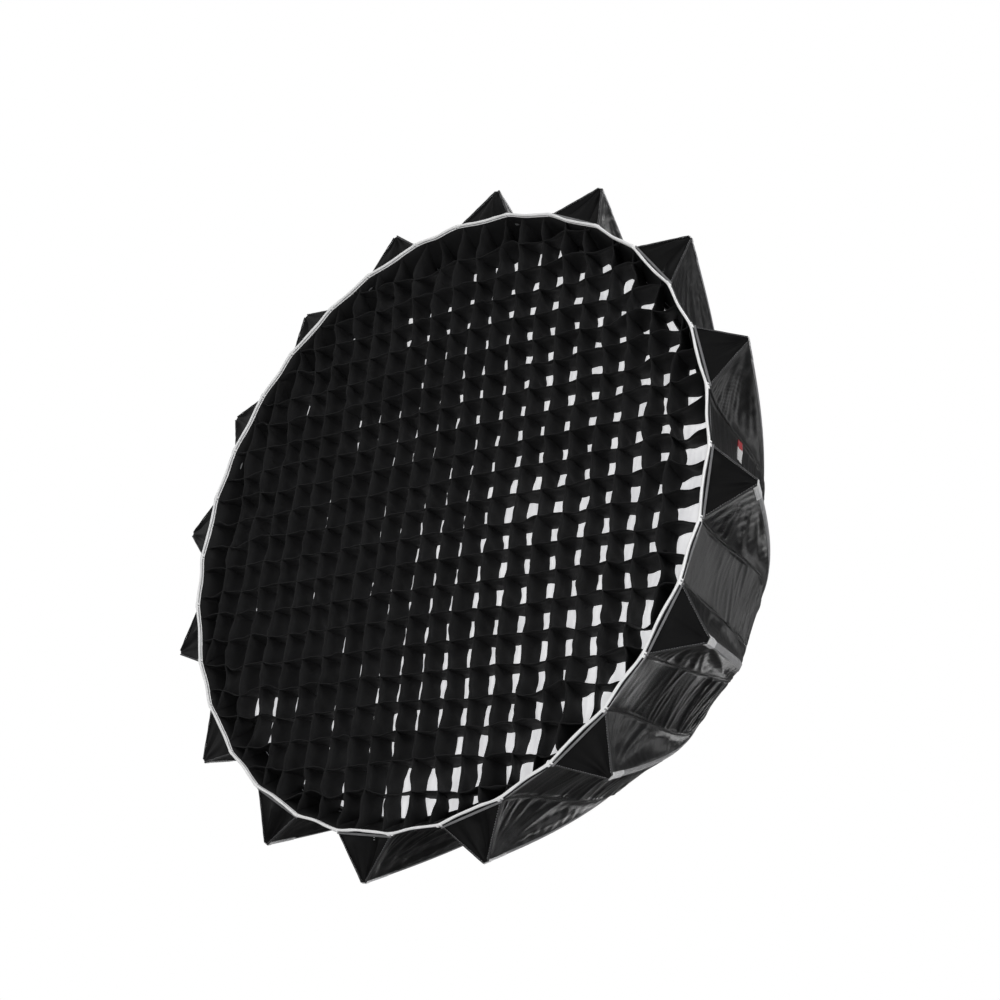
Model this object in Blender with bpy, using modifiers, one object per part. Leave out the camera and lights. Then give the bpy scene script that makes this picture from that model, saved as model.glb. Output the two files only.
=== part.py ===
"""A 1.5 m folding octabox: sixteen sprung rods on a rotating speed ring, fabric panels, diffuser and light grid.

Metres, +Z up. The origin is the centre of the speed ring's rear seat, +Y points back to the lamp, and
the lit front faces -Y. Rod 1 stands straight up, and the numbers run clockwise as seen from the front.
"""

from math import cos, hypot, pi, radians, sin, sqrt

import bmesh
import bpy
from mathutils import Matrix, Vector

# Overall shape
RODS = 16
ROD_STEP = 2 * pi / RODS
HALF_STEP = ROD_STEP / 2
FRONT_TO_SEAT = 0.912  # from the plane of the open front back to the rear seat
TIP_DEPTH = 0.024  # the rod tips stand a little behind the front plane
REAR_DEPTH = 0.872  # where the panels end, just in front of the hub
RIM_HALF_WIDTH = 0.071  # half the width of one tip's base in the open front
FIN_DEPTH = 0.47  # how far back the tall fins over the rods reach
FIN_HEIGHT = 0.093
FIN_MIN = 0.008
STATIONS = 9  # lengthwise steps of a panel

# Fabric
FABRIC = 0.0016
RIDGE_HALF = 0.0045  # half width of the tape that covers a rod
PANEL_GAP = 0.0002
CLEAR = 0.0003

# Rods
ROD_R = 0.0032
ROD_INSET = 0.0075  # from the outside of the ridge tape to the rod's centre line
HINGE_R = 0.105  # from the centre of the hub to a rod's hinge
HINGE_Y = -0.034
KNUCKLE_R = 0.0055
KNUCKLE_W = 0.0104
TIP_CAP_R = 0.0042
WIRE_R = 0.0015
WIRE_BORE_R = 0.0019

# Speed ring, from the rear seat forwards
BORE_R = 0.0445
BARREL_R = 0.052
FLANGE_R = 0.0715
FLANGE_T = 0.006
BARREL_FRONT = -0.041
BAYONET_LENGTH = 0.014
LUG_OUT = 0.0040
LUG_W = 0.012
LUG_STEP = radians(12)
HUB_R = 0.125
HUB_BORE_R = 0.0525
HUB_REAR = -FLANGE_T - CLEAR
HUB_FRONT = -0.0358
POCKET_IN_R = 0.080
POCKET_OUT_R = 0.118
POCKET_FLOOR = -0.0232
SLOT_W = 0.012
SLOT_IN_R = 0.0975
SLOT_FLOOR = -0.0278
WIRE_GROOVE = (0.1024, 0.1096)
WIRE_GROOVE_FLOOR = -0.0322
CAP_IN_R = 0.060
CAP_R = 0.118
CAP_FRONT = HUB_FRONT - CLEAR - 0.008
NUT_IN_R = 0.0526
NUT_R = 0.059
RING_STEPS = 32

# Fasteners and controls on the speed ring
SCREWS = 4
SCREW_CIRCLE_R = 0.078
SCREW_R = 0.002
SCREW_HEAD_R = 0.0045
SCREW_HEAD_T = 0.003
SCREW_LENGTH = 0.014
KNOB_ANGLE = 7.5 * ROD_STEP
CONTROL_Y = -0.0150
KNOB_R = 0.010
KNOB_LENGTH = 0.018
KNOB_OUT = 0.132
KNOB_STEM_R = 0.003
BUTTON_ANGLES = (3.5 * ROD_STEP, 11.5 * ROD_STEP)
BUTTON_W = 0.016
BUTTON_H = 0.009
BUTTON_OUT = 0.132
BUTTON_IN = 0.112
BUTTON_FLANGE = 0.0025

# Front fabrics
OPENING_SIDES = 2 * RODS
GRID_FRONT = 0.003
GRID_BACK = 0.058
GRID_FRONT_R = 0.655
GRID_BACK_R = 0.630
GRID_WALL = 0.004
GRID_PITCH = 0.14
GRID_SLAT = 0.003
PIPING_DEPTH = -0.006
PIPING_R = 0.0028
PIPING_RING_R = 0.664
DIFFUSER_DEPTH = 0.064
DIFFUSER_T = 0.0015
DIFFUSER_R = 0.622
HEM_DEPTHS = (0.060, 0.074)
HEM_RADII = (0.6223, 0.6283)

COLOURS = {
    "black_nylon": ((0.012, 0.012, 0.013), 0.5, 0.0),
    "rod_black": ((0.02, 0.02, 0.02), 0.35, 0.0),
    "hub_plastic": ((0.018, 0.018, 0.019), 0.45, 0.0),
    "silver_metal": ((0.60, 0.60, 0.61), 0.3, 1.0),
    "spring_steel": ((0.35, 0.35, 0.36), 0.35, 1.0),
    "screw_steel": ((0.05, 0.05, 0.05), 0.4, 1.0),
    "control_red": ((0.45, 0.02, 0.03), 0.4, 0.0),
    "knob_rubber": ((0.02, 0.02, 0.02), 0.7, 0.0),
    "white_diffuser": ((0.85, 0.85, 0.84), 0.8, 0.0),
    "grid_black": ((0.010, 0.010, 0.011), 0.7, 0.0),
    "white_piping": ((0.75, 0.75, 0.76), 0.5, 0.0),
}


# ---------------------------------------------------------------- scene helpers


def clear_scene():
    for obj in list(bpy.data.objects):
        bpy.data.objects.remove(obj)


def new_collection(name):
    collection = bpy.data.collections.new(name)
    bpy.context.scene.collection.children.link(collection)
    return collection


def make_material(name):
    colour, roughness, metallic = COLOURS[name]
    material = bpy.data.materials.new(name)
    material.use_nodes = True
    shader = material.node_tree.nodes["Principled BSDF"]
    shader.inputs["Base Color"].default_value = (*colour, 1)
    shader.inputs["Roughness"].default_value = roughness
    shader.inputs["Metallic"].default_value = metallic
    material.diffuse_color = (*colour, 1)
    return material


def add_object(name, mesh, material=None, parent=None):
    """A part when it has a material, and a cutter when it has none."""
    obj = bpy.data.objects.new(name, mesh)
    if material:
        PARTS.objects.link(obj)
        if not mesh.materials:
            mesh.materials.append(MATERIALS[material])
    else:
        CUTTERS.objects.link(obj)
        obj.hide_render = True
        obj.display_type = "WIRE"
    obj.parent = parent
    return obj


def mesh_from(bm, name, smooth=True):
    mesh = bpy.data.meshes.new(name)
    bm.to_mesh(mesh)
    bm.free()
    if smooth:
        mesh.shade_smooth()
        mesh.set_sharp_from_angle(angle=radians(35))
    return mesh


def boolean(obj, cutter, operation="DIFFERENCE"):
    modifier = obj.modifiers.new("cut", "BOOLEAN")
    modifier.operation = operation
    modifier.object = cutter
    return modifier


def settled_mesh(obj):
    """The object's mesh after its modifiers, with loose caps welded on."""
    bpy.context.view_layer.update()
    graph = bpy.context.evaluated_depsgraph_get()
    mesh = bpy.data.meshes.new_from_object(obj.evaluated_get(graph))
    bm = bmesh.new()
    bm.from_mesh(mesh)
    bmesh.ops.remove_doubles(bm, verts=bm.verts, dist=1e-6)
    bm.to_mesh(mesh)
    bm.free()
    return mesh


def turned(name, profile, material=None, steps=RING_STEPS, start=0.0):
    """A ring turned round the Y axis from a closed profile of (radius, y) points, outer side from front to rear."""
    bm = bmesh.new()
    corners = [bm.verts.new((r * sin(start), y, r * cos(start))) for r, y in reversed(profile)]
    for first, second in zip(corners, corners[1:] + corners[:1]):
        bm.edges.new((first, second))
    obj = add_object(name, mesh_from(bm, name, smooth=False), material)
    screw = obj.modifiers.new("turn", "SCREW")
    screw.axis = "Y"
    screw.steps = steps
    screw.render_steps = steps
    screw.use_merge_vertices = True
    screw.merge_threshold = 0.00001
    return obj


def box_into(bm, size, matrix):
    bmesh.ops.create_cube(bm, size=1, matrix=matrix @ Matrix.Diagonal((*size, 1)))


def cylinder_into(bm, radius, length, matrix, segments=16, far_radius=None):
    """A cylinder along the local Z axis of matrix, centred on it."""
    bmesh.ops.create_cone(
        bm,
        cap_ends=True,
        segments=segments,
        radius1=radius,
        radius2=radius if far_radius is None else far_radius,
        depth=length,
        matrix=matrix,
    )


def spoke(angle, radius=0.0, y=0.0):
    """A frame on the spoke at this angle: X round the ring, Y back, Z outwards."""
    return Matrix.Rotation(angle, 4, "Y") @ Matrix.Translation((0, y, radius))


ALONG_X = Matrix.Rotation(pi / 2, 4, "Y")
ALONG_Y = Matrix.Rotation(pi / 2, 4, "X")


# ---------------------------------------------------------------- the dome's shape


def ridge_radius(depth):
    """Outside radius of the cover along a rod: a slightly opened parabola."""
    return sqrt(0.5797 - 0.6496 * depth + 0.0091 * depth * depth)


def ridge_depth(radius):
    """The same curve the other way round."""
    c = 0.5797 - radius * radius
    return (0.6496 - sqrt(0.6496**2 - 4 * 0.0091 * c)) / (2 * 0.0091)


def rod_centre(depth):
    """(radius, depth) of a rod's centre line, inset square to the ridge."""
    radius = ridge_radius(depth)
    slope = (-0.6496 + 2 * 0.0091 * depth) / (2 * radius)
    length = hypot(1, slope)
    return radius - ROD_INSET / length, depth + ROD_INSET * slope / length


def fin_height(depth):
    """How far the ridge stands above the seams on its two sides."""
    x = min(depth / FIN_DEPTH, 1)
    return FIN_MIN + FIN_HEIGHT * (1 - x * x * (3 - 2 * x))


def seam_half_width(depth):
    return RIM_HALF_WIDTH * (1 - (depth / FRONT_TO_SEAT) ** 1.1)


def panel_section(step):
    """Six corners across one panel, each (x round the ring, depth, radius), at this share of its length."""
    front_r = ridge_radius(TIP_DEPTH)
    ridge_r = front_r + (ridge_radius(REAR_DEPTH) - front_r) * step
    top = ridge_depth(ridge_r)
    depth = (top - TIP_DEPTH) * REAR_DEPTH / (REAR_DEPTH - TIP_DEPTH)
    seam_r = ridge_radius(depth) - fin_height(depth)
    half = seam_half_width(depth)
    across = seam_r * cos(HALF_STEP) + half * sin(HALF_STEP)
    edge_x = across * sin(HALF_STEP) - PANEL_GAP * cos(HALF_STEP)
    edge_r = across * cos(HALF_STEP) + PANEL_GAP * sin(HALF_STEP)
    right = [(RIDGE_HALF, top, ridge_r), (half, depth, seam_r), (edge_x, depth, edge_r)]
    return [(-x, d, r) for x, d, r in reversed(right)] + right


# ---------------------------------------------------------------- rods and panels


def rod_mesh():
    """A rod with its hinge knuckle and tip cap, with the hinge at the origin."""
    depths = [ridge_depth(0.118 + (ridge_radius(TIP_DEPTH + 0.012) - 0.118) * k / 8) for k in range(9)]
    centres = [rod_centre(depth) for depth in depths]
    points = [(0, 0, 0)] + [(0, d - FRONT_TO_SEAT - HINGE_Y, r - HINGE_R) for r, d in centres]
    curve = bpy.data.curves.new("rod_curve", "CURVE")
    curve.dimensions = "3D"
    curve.bevel_depth = ROD_R
    curve.bevel_resolution = 2
    curve.use_fill_caps = True
    spline = curve.splines.new("POLY")
    spline.points.add(len(points) - 1)
    for point, place in zip(spline.points, points):
        point.co = (*place, 1)
    rod = add_object("rod_curve", curve)
    body = add_object("rod_body", settled_mesh(rod))
    bpy.data.objects.remove(rod)

    bm = bmesh.new()
    cylinder_into(bm, KNUCKLE_R, KNUCKLE_W, ALONG_X, 12)
    knuckle = add_object("knuckle_shape", mesh_from(bm, "knuckle"))
    end = Vector(points[-1])
    along = (end - Vector(points[-2])).normalized()
    bm = bmesh.new()
    turn = along.to_track_quat("Z", "Y").to_matrix().to_4x4()
    cylinder_into(bm, TIP_CAP_R, 0.016, Matrix.Translation(end - along * 0.006) @ turn, 10)
    cap = add_object("tip_cap_shape", mesh_from(bm, "tip_cap"))
    bm = bmesh.new()
    cylinder_into(bm, WIRE_BORE_R, KNUCKLE_W * 2, ALONG_X, 8)
    bore = add_object("hinge_bore_cutter", mesh_from(bm, "bore"))
    boolean(body, knuckle, "UNION")
    boolean(body, cap, "UNION")
    boolean(body, bore)
    mesh = settled_mesh(body)
    mesh.shade_smooth()
    mesh.set_sharp_from_angle(angle=radians(35))
    for shape in (body, knuckle, cap):
        bpy.data.objects.remove(shape)
    return mesh


def panel_mesh():
    """The cover over one rod, out to the middle of the strips on both sides, with the hinge at the origin."""
    bm = bmesh.new()
    rows = []
    for k in range(STATIONS):
        section = panel_section(k / (STATIONS - 1))
        row = [bm.verts.new((x, d - FRONT_TO_SEAT - HINGE_Y, r - HINGE_R)) for x, d, r in section]
        rows.append(row)
    for near, far in zip(rows, rows[1:]):
        for j in range(len(near) - 1):
            bm.faces.new((near[j], far[j], far[j + 1], near[j + 1]))
    first = rows[0]
    bm.faces.new((first[1], first[2], first[3], first[4]))
    return mesh_from(bm, "panel", smooth=False)


def add_rods_and_panels():
    rod, panel = rod_mesh(), panel_mesh()
    for number in range(1, RODS + 1):
        pivot = bpy.data.objects.new(f"rod_pivot_{number:02d}", None)
        PARTS.objects.link(pivot)
        pivot.matrix_world = spoke((number - 1) * ROD_STEP, HINGE_R, HINGE_Y)
        add_object(f"rod_{number:02d}", rod, "rod_black", pivot)
        cover = add_object(f"panel_{number:02d}", panel, "black_nylon", pivot)
        shell = cover.modifiers.new("thickness", "SOLIDIFY")
        shell.thickness = FABRIC
        shell.offset = -1
        shell.use_even_offset = True


# ---------------------------------------------------------------- speed ring


def add_bayonet_insert():
    profile = [
        (BARREL_R, BARREL_FRONT),
        (BARREL_R, -FLANGE_T),
        (FLANGE_R, -FLANGE_T),
        (FLANGE_R, 0),
        (BORE_R + 0.0045, 0),
        (BORE_R + 0.0045, BAYONET_LENGTH),
        (BORE_R, BAYONET_LENGTH),
        (BORE_R, BARREL_FRONT),
    ]
    insert = turned("bayonet_insert", profile, "silver_metal")
    bm = bmesh.new()
    for k in range(3):
        for part in (-0.5, 0.5):
            place = spoke(k * 2 * pi / 3 + part * LUG_STEP, BORE_R + 0.004, BAYONET_LENGTH - 0.004)
            box_into(bm, (LUG_W, 0.005, 2 * LUG_OUT), place)
    lugs = add_object("lug_shapes", mesh_from(bm, "lugs", smooth=False))
    merged = lugs.modifiers.new("merge", "BOOLEAN")
    merged.operation = "UNION"
    merged.object = insert
    merged.use_self = True
    mesh = settled_mesh(lugs)
    bpy.data.objects.remove(lugs)
    bpy.data.objects.remove(insert)
    add_object("bayonet_insert", mesh, "silver_metal")


def add_hub_ring():
    profile = [
        (HUB_R, HUB_FRONT),
        (HUB_R, HUB_REAR),
        (POCKET_OUT_R, HUB_REAR),
        (POCKET_OUT_R, POCKET_FLOOR),
        (POCKET_IN_R, POCKET_FLOOR),
        (POCKET_IN_R, HUB_REAR),
        (HUB_BORE_R, HUB_REAR),
        (HUB_BORE_R, HUB_FRONT),
    ]
    ring = turned("hub_ring", profile, "hub_plastic")
    bm = bmesh.new()
    depth = SLOT_FLOOR - HUB_FRONT + 0.01
    length = HUB_R - SLOT_IN_R + 0.01
    for k in range(RODS):
        place = spoke(k * ROD_STEP, SLOT_IN_R + length / 2, SLOT_FLOOR - depth / 2)
        box_into(bm, (SLOT_W, depth, length), place)
    boolean(ring, add_object("rod_slot_cutters", mesh_from(bm, "slots", smooth=False)))
    low, high = WIRE_GROOVE
    groove = [(high, HUB_FRONT - 0.01), (high, WIRE_GROOVE_FLOOR), (low, WIRE_GROOVE_FLOOR), (low, HUB_FRONT - 0.01)]
    boolean(ring, turned("wire_groove_cutter", groove))
    bm = bmesh.new()
    for angle in screw_angles():
        cylinder_into(bm, SCREW_R + CLEAR, 0.024, spoke(angle, SCREW_CIRCLE_R, HUB_FRONT) @ ALONG_Y, 12)
    cylinder_into(bm, KNOB_STEM_R + CLEAR, 0.1, spoke(KNOB_ANGLE, 0.095, CONTROL_Y), 12)
    for angle in BUTTON_ANGLES:
        size = (BUTTON_W + 2 * CLEAR, BUTTON_H + 2 * CLEAR, 0.02)
        box_into(bm, size, spoke(angle, HUB_R, CONTROL_Y))
    boolean(ring, add_object("hub_hole_cutters", mesh_from(bm, "holes", smooth=False)))


def add_hub_cap():
    rear = HUB_FRONT - CLEAR
    profile = [(CAP_R, CAP_FRONT), (CAP_R, rear), (CAP_IN_R, rear), (CAP_IN_R, CAP_FRONT)]
    cap = turned("hub_cap", profile, "hub_plastic")
    bm = bmesh.new()
    length = CAP_R - SLOT_IN_R + 0.01
    for k in range(RODS):
        place = spoke(k * ROD_STEP, SLOT_IN_R + length / 2, (rear + CAP_FRONT) / 2)
        box_into(bm, (SLOT_W, 0.02, length), place)
    for angle in screw_angles():
        cylinder_into(bm, SCREW_R + CLEAR, 0.03, spoke(angle, SCREW_CIRCLE_R, CAP_FRONT) @ ALONG_Y, 12)
    boolean(cap, add_object("cap_cutters", mesh_from(bm, "cap_cuts", smooth=False)))


def add_retaining_nut():
    rear = HUB_FRONT - CLEAR
    profile = [(NUT_R, BARREL_FRONT), (NUT_R, rear), (NUT_IN_R, rear), (NUT_IN_R, BARREL_FRONT)]
    nut = turned("retaining_nut", profile, "silver_metal")
    bm = bmesh.new()
    for k in range(4):
        box_into(bm, (0.005, 0.003, 0.02), spoke((k + 0.5) * pi / 2, NUT_R, BARREL_FRONT))
    boolean(nut, add_object("nut_notch_cutters", mesh_from(bm, "notches", smooth=False)))


def add_hinge_wire():
    """One wire round all the knuckles, straight where it passes through each of them."""
    curve = bpy.data.curves.new("hinge_wire", "CURVE")
    curve.dimensions = "3D"
    curve.bevel_depth = WIRE_R
    curve.bevel_resolution = 2
    spline = curve.splines.new("POLY")
    spline.points.add(RODS - 1)
    corner_r = HINGE_R / cos(HALF_STEP)
    for k, point in enumerate(spline.points):
        angle = (k + 0.5) * ROD_STEP
        point.co = (corner_r * sin(angle), HINGE_Y, corner_r * cos(angle), 1)
    spline.use_cyclic_u = True
    add_object("hinge_wire", curve, "spring_steel")


def screw_angles():
    return [(k * RODS / SCREWS + 1.5) * ROD_STEP for k in range(SCREWS)]


def add_cap_screws():
    bm = bmesh.new()
    cylinder_into(bm, SCREW_R, SCREW_LENGTH, Matrix.Translation((0, SCREW_LENGTH / 2, 0)) @ ALONG_Y, 12)
    shank = add_object("screw_shank_shape", mesh_from(bm, "shank"))
    bm = bmesh.new()
    cylinder_into(bm, SCREW_HEAD_R, SCREW_HEAD_T, Matrix.Translation((0, -SCREW_HEAD_T / 2, 0)) @ ALONG_Y, 16)
    head = add_object("screw_head_shape", mesh_from(bm, "head"))
    bm = bmesh.new()
    cylinder_into(bm, 0.0022, 0.003, Matrix.Translation((0, -SCREW_HEAD_T, 0)) @ ALONG_Y, 6)
    socket = add_object("screw_socket_cutter", mesh_from(bm, "socket"))
    head.location.y = 0.0005
    boolean(head, shank, "UNION")
    boolean(head, socket)
    mesh = settled_mesh(head)
    for shape in (shank, head):
        bpy.data.objects.remove(shape)
    for number, angle in enumerate(screw_angles(), 1):
        screw = add_object(f"cap_screw_{number}", mesh, "screw_steel")
        screw.matrix_world = spoke(angle, SCREW_CIRCLE_R, CAP_FRONT - 0.001)


def add_lock_knob():
    """The knob that clamps the ring's rotation: a lobed head on a stem that reaches in to the barrel."""
    bm = bmesh.new()
    lobes = 10
    outline = []
    for k in range(2 * lobes):
        radius = KNOB_R if k % 2 else KNOB_R * 0.86
        angle = k * pi / lobes
        outline.append(bm.verts.new((radius * cos(angle), radius * sin(angle), KNOB_OUT)))
    bottom = bm.faces.new(outline)
    top = bmesh.ops.extrude_face_region(bm, geom=[bottom])
    bmesh.ops.translate(bm, vec=(0, 0, KNOB_LENGTH), verts=[v for v in top["geom"] if isinstance(v, bmesh.types.BMVert)])
    bmesh.ops.recalc_face_normals(bm, faces=bm.faces)
    head = add_object("knob_head_shape", mesh_from(bm, "knob_head"))
    low = BARREL_R + CLEAR
    bm = bmesh.new()
    length = KNOB_OUT + 0.004 - low
    cylinder_into(bm, KNOB_STEM_R, length, Matrix.Translation((0, 0, low + length / 2)), 12)
    stem = add_object("knob_stem_shape", mesh_from(bm, "knob_stem"))
    boolean(head, stem, "UNION")
    mesh = settled_mesh(head)
    for shape in (stem, head):
        bpy.data.objects.remove(shape)
    knob = add_object("lock_knob", mesh, "knob_rubber")
    knob.matrix_world = spoke(KNOB_ANGLE, 0, CONTROL_Y)


def add_release_buttons():
    bm = bmesh.new()
    length = BUTTON_OUT - BUTTON_IN
    box_into(bm, (BUTTON_W, BUTTON_H, length), Matrix.Translation((0, 0, BUTTON_IN + length / 2)))
    button = add_object("button_shape", mesh_from(bm, "button", smooth=False))
    bm = bmesh.new()
    low, high = BUTTON_IN + 0.001, 0.1148
    size = (BUTTON_W + 2 * BUTTON_FLANGE, BUTTON_H + 0.002, high - low)
    box_into(bm, size, Matrix.Translation((0, 0, (low + high) / 2)))
    flange = add_object("button_flange_shape", mesh_from(bm, "flange", smooth=False))
    boolean(button, flange, "UNION")
    mesh = settled_mesh(button)
    for shape in (button, flange):
        bpy.data.objects.remove(shape)
    for side, angle in zip(("right", "left"), BUTTON_ANGLES):
        button = add_object(f"release_button_{side}", mesh, "control_red")
        button.matrix_world = spoke(angle, 0, CONTROL_Y)
        edge = button.modifiers.new("edges", "BEVEL")
        edge.width = 0.0006
        edge.segments = 1


# ---------------------------------------------------------------- front fabrics


def grid_cone(bm, front_r, back_r, extra=0.0):
    """A slab with the grid's slanted rim, turned so that a flat side faces each rod."""
    length = GRID_BACK - GRID_FRONT + 2 * extra
    middle = (GRID_FRONT + GRID_BACK) / 2 - FRONT_TO_SEAT
    place = spoke(ROD_STEP / 4, 0, middle) @ ALONG_Y
    cylinder_into(bm, back_r, length, place, OPENING_SIDES, front_r)


def grid_cell_boxes():
    """The cells between the slats that lie well inside the rim."""
    half = GRID_PITCH / 2
    reach = int(GRID_FRONT_R / GRID_PITCH) + 1
    centres = [(i + 0.5) * GRID_PITCH for i in range(-reach, reach)]
    return [(x, z) for x in centres for z in centres if hypot(abs(x) - half, abs(z) - half) < GRID_BACK_R * 0.93]


def add_light_grid():
    bm = bmesh.new()
    grid_cone(bm, GRID_FRONT_R, GRID_BACK_R)
    grid = add_object("light_grid", mesh_from(bm, "light_grid", smooth=False), "grid_black")
    bm = bmesh.new()
    width = GRID_PITCH - GRID_SLAT
    middle = (GRID_FRONT + GRID_BACK) / 2 - FRONT_TO_SEAT
    for x, z in grid_cell_boxes():
        box_into(bm, (width, 0.09, width), Matrix.Translation((x, middle, z)))
    cells = add_object("grid_cell_cutters", mesh_from(bm, "cells", smooth=False))
    bm = bmesh.new()
    slant = (GRID_FRONT_R - GRID_BACK_R) / (GRID_BACK - GRID_FRONT)
    extra = 0.01
    grid_cone(bm, GRID_FRONT_R - GRID_WALL + slant * extra, GRID_BACK_R - GRID_WALL - slant * extra, extra)
    boolean(cells, add_object("grid_rim_cutter", mesh_from(bm, "rim", smooth=False)), "INTERSECT")
    boolean(grid, cells)


def add_grid_piping():
    curve = bpy.data.curves.new("grid_piping", "CURVE")
    curve.dimensions = "3D"
    curve.bevel_depth = PIPING_R
    curve.bevel_resolution = 2
    spline = curve.splines.new("POLY")
    spline.points.add(OPENING_SIDES - 1)
    for k, point in enumerate(spline.points):
        angle = (k + 0.5) * pi / RODS
        y = PIPING_DEPTH - FRONT_TO_SEAT
        point.co = (PIPING_RING_R * sin(angle), y, PIPING_RING_R * cos(angle), 1)
    spline.use_cyclic_u = True
    add_object("grid_piping", curve, "white_piping")


def add_diffuser():
    bm = bmesh.new()
    place = spoke(ROD_STEP / 4, 0, DIFFUSER_DEPTH + DIFFUSER_T / 2 - FRONT_TO_SEAT) @ ALONG_Y
    cylinder_into(bm, DIFFUSER_R, DIFFUSER_T, place, OPENING_SIDES)
    add_object("front_diffuser", mesh_from(bm, "front_diffuser", smooth=False), "white_diffuser")
    (front, back), (low, high) = HEM_DEPTHS, HEM_RADII
    front, back = front - FRONT_TO_SEAT, back - FRONT_TO_SEAT
    profile = [(high, front), (high, back), (low, back), (low, front)]
    turned("diffuser_hem", profile, "black_nylon", OPENING_SIDES, ROD_STEP / 4)


clear_scene()
PARTS = new_collection("octabox")
CUTTERS = new_collection("octabox_cutters")
MATERIALS = {name: make_material(name) for name in COLOURS}
add_rods_and_panels()
add_bayonet_insert()
add_hub_ring()
add_hub_cap()
add_retaining_nut()
add_hinge_wire()
add_cap_screws()
add_lock_knob()
add_release_buttons()
add_light_grid()
add_grid_piping()
add_diffuser()
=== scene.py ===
"""Looks of the folding octabox: sewn skin, trim, light grid, piping, diffuser, materials, light and camera.

Metres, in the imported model's frame: +Y points back to the lamp, the lit front faces -Y, and rod 1 stands
straight up. Depth is measured back from the plane of the open front.
"""

from math import cos, hypot, pi, radians, sin, sqrt

import bpy
import numpy as np
from mathutils import Matrix, Vector


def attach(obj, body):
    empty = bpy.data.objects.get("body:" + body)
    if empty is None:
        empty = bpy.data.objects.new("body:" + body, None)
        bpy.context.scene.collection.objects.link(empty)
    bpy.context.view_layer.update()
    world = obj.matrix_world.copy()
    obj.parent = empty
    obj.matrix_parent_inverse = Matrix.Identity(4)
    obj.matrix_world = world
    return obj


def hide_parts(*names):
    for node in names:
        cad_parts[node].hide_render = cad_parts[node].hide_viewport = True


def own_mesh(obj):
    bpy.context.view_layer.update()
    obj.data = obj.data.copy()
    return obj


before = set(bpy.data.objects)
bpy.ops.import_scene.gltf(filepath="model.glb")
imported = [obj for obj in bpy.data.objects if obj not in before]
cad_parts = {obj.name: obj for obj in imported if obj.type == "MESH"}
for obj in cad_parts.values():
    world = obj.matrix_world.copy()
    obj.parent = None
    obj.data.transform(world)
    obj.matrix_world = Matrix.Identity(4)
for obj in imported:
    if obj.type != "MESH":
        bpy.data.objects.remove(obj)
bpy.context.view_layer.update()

# The dome, as the CAD model has it
RODS = 16
ROD_STEP = 2 * pi / RODS
HALF_STEP = ROD_STEP / 2
FRONT_TO_SEAT = 0.912
TIP_DEPTH = 0.024
REAR_DEPTH = 0.872
RIM_HALF_WIDTH = 0.071
FIN_DEPTH = 0.47
FIN_HEIGHT = 0.093
FIN_MIN = 0.008
RIDGE_HALF = 0.0045
RIDGE_CURVE = (0.5797, 0.6496, 0.0091)  # squared radius = first - second * depth + third * depth squared
GRID_FRONT = 0.003
GRID_BACK = 0.058
GRID_BACK_R = 0.630
RIM_OUT_R = 0.6642  # outer edge of the flat border
RIM_FRONT_R = 0.6592  # where the slats reach the rim in front
DIFFUSER_DEPTH = 0.064
DIFFUSER_R = 0.622
HEM_RADII = (0.6223, 0.6283)
HEM_DEPTHS = (0.060, 0.074)

# Cloth
CLOTH = 0.0011
ROW_STEP = 0.0040  # spacing of the skin's rows along a rod
STRIP_FOLD = 0.0036  # tallest fold across a strip
FLANK_FOLD = 0.0070  # tallest fold fanning out from a tip
FACET_FOLD = 0.0075  # tallest fold of a front facet
TAPE_SINK = 0.0004  # how far tapes reach into the cloth
THREAD_LIFT = 0.0003  # how far stitches stand off the cloth
SEAM_OFFSETS = (0.0, 0.0012, 0.0024, 0.0040, 0.0055, 0.0080)
FLANK_COLUMNS = 20
STRIP_COLUMNS = 7
FACET_COLUMNS = 14
GRID_PITCH = 0.0575
GRID_TURN = radians(4.0)
GRID_PHASE = (-0.134, -0.063)  # share of a cell by which the lattice misses the centre
SWOLLEN_SPREAD = 0.038
SWOLLEN = (  # places, along and across the lattice, where the slats have been pushed apart, and how far
    (0.445, -0.425, 0.016),
    (-0.440, -0.472, 0.010),
    (0.388, 0.540, 0.014),
    (0.051, -0.575, 0.007),
    (0.158, -0.556, 0.008),
    (0.469, 0.430, 0.012),
    (0.309, -0.545, 0.013),
    (0.205, -0.025, 0.008),
)
SLATS = 10  # slats either side of the middle one; no slat lies in the last short chord at the rim
WEDGES = 64
WEDGE_STEP = 2 * pi / WEDGES
FOLD_KEEP = 0.12  # share of its width the front of a cover keeps when the rods are folded
FOLD_ANGLE = radians(40)
HINGE = (0.878, 0.105)  # depth and radius
ZONES = 15  # each cover is made in this many lengths, cut where the share it would keep when folded grows towards the hub
FLOOR_HALF = 6.0
FLOOR_Z = -1.32
CAMERA_PLACE = (2.1785, -3.1793, -1.0108)


# ---------------------------------------------------------------- small maths


def smooth(low, high, x):
    t = np.clip((x - low) / (high - low), 0, 1)
    return t * t * (3 - 2 * t)


def unit(v):
    return v / np.maximum(np.linalg.norm(v, axis=-1, keepdims=True), 1e-12)


def size_of(vectors):
    return np.linalg.norm(vectors, axis=-1)


def running_length(points):
    """Distance along a line of points, from 0 at the first."""
    return np.concatenate([[0], np.cumsum(size_of(np.diff(points, axis=0)))])


def rows_at(stations, run, rows):
    """Rows of a table, given at the distances run, at other distances."""
    return np.stack([np.interp(stations, run, rows[:, k]) for k in range(rows.shape[1])], -1)


def soft_noise(points, scale, seed, terms=7):
    """Smooth noise of about -1 to 1 at each point, with features about scale metres across."""
    rng = np.random.default_rng(seed)
    total = np.zeros(points.shape[:-1])
    for _ in range(terms):
        way = rng.normal(size=points.shape[-1])
        way *= 2 * pi / scale * rng.uniform(0.5, 1.2) / np.linalg.norm(way)
        total += np.sin(points @ way + rng.uniform(0, 2 * pi))
    return total / sqrt(terms)


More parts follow.
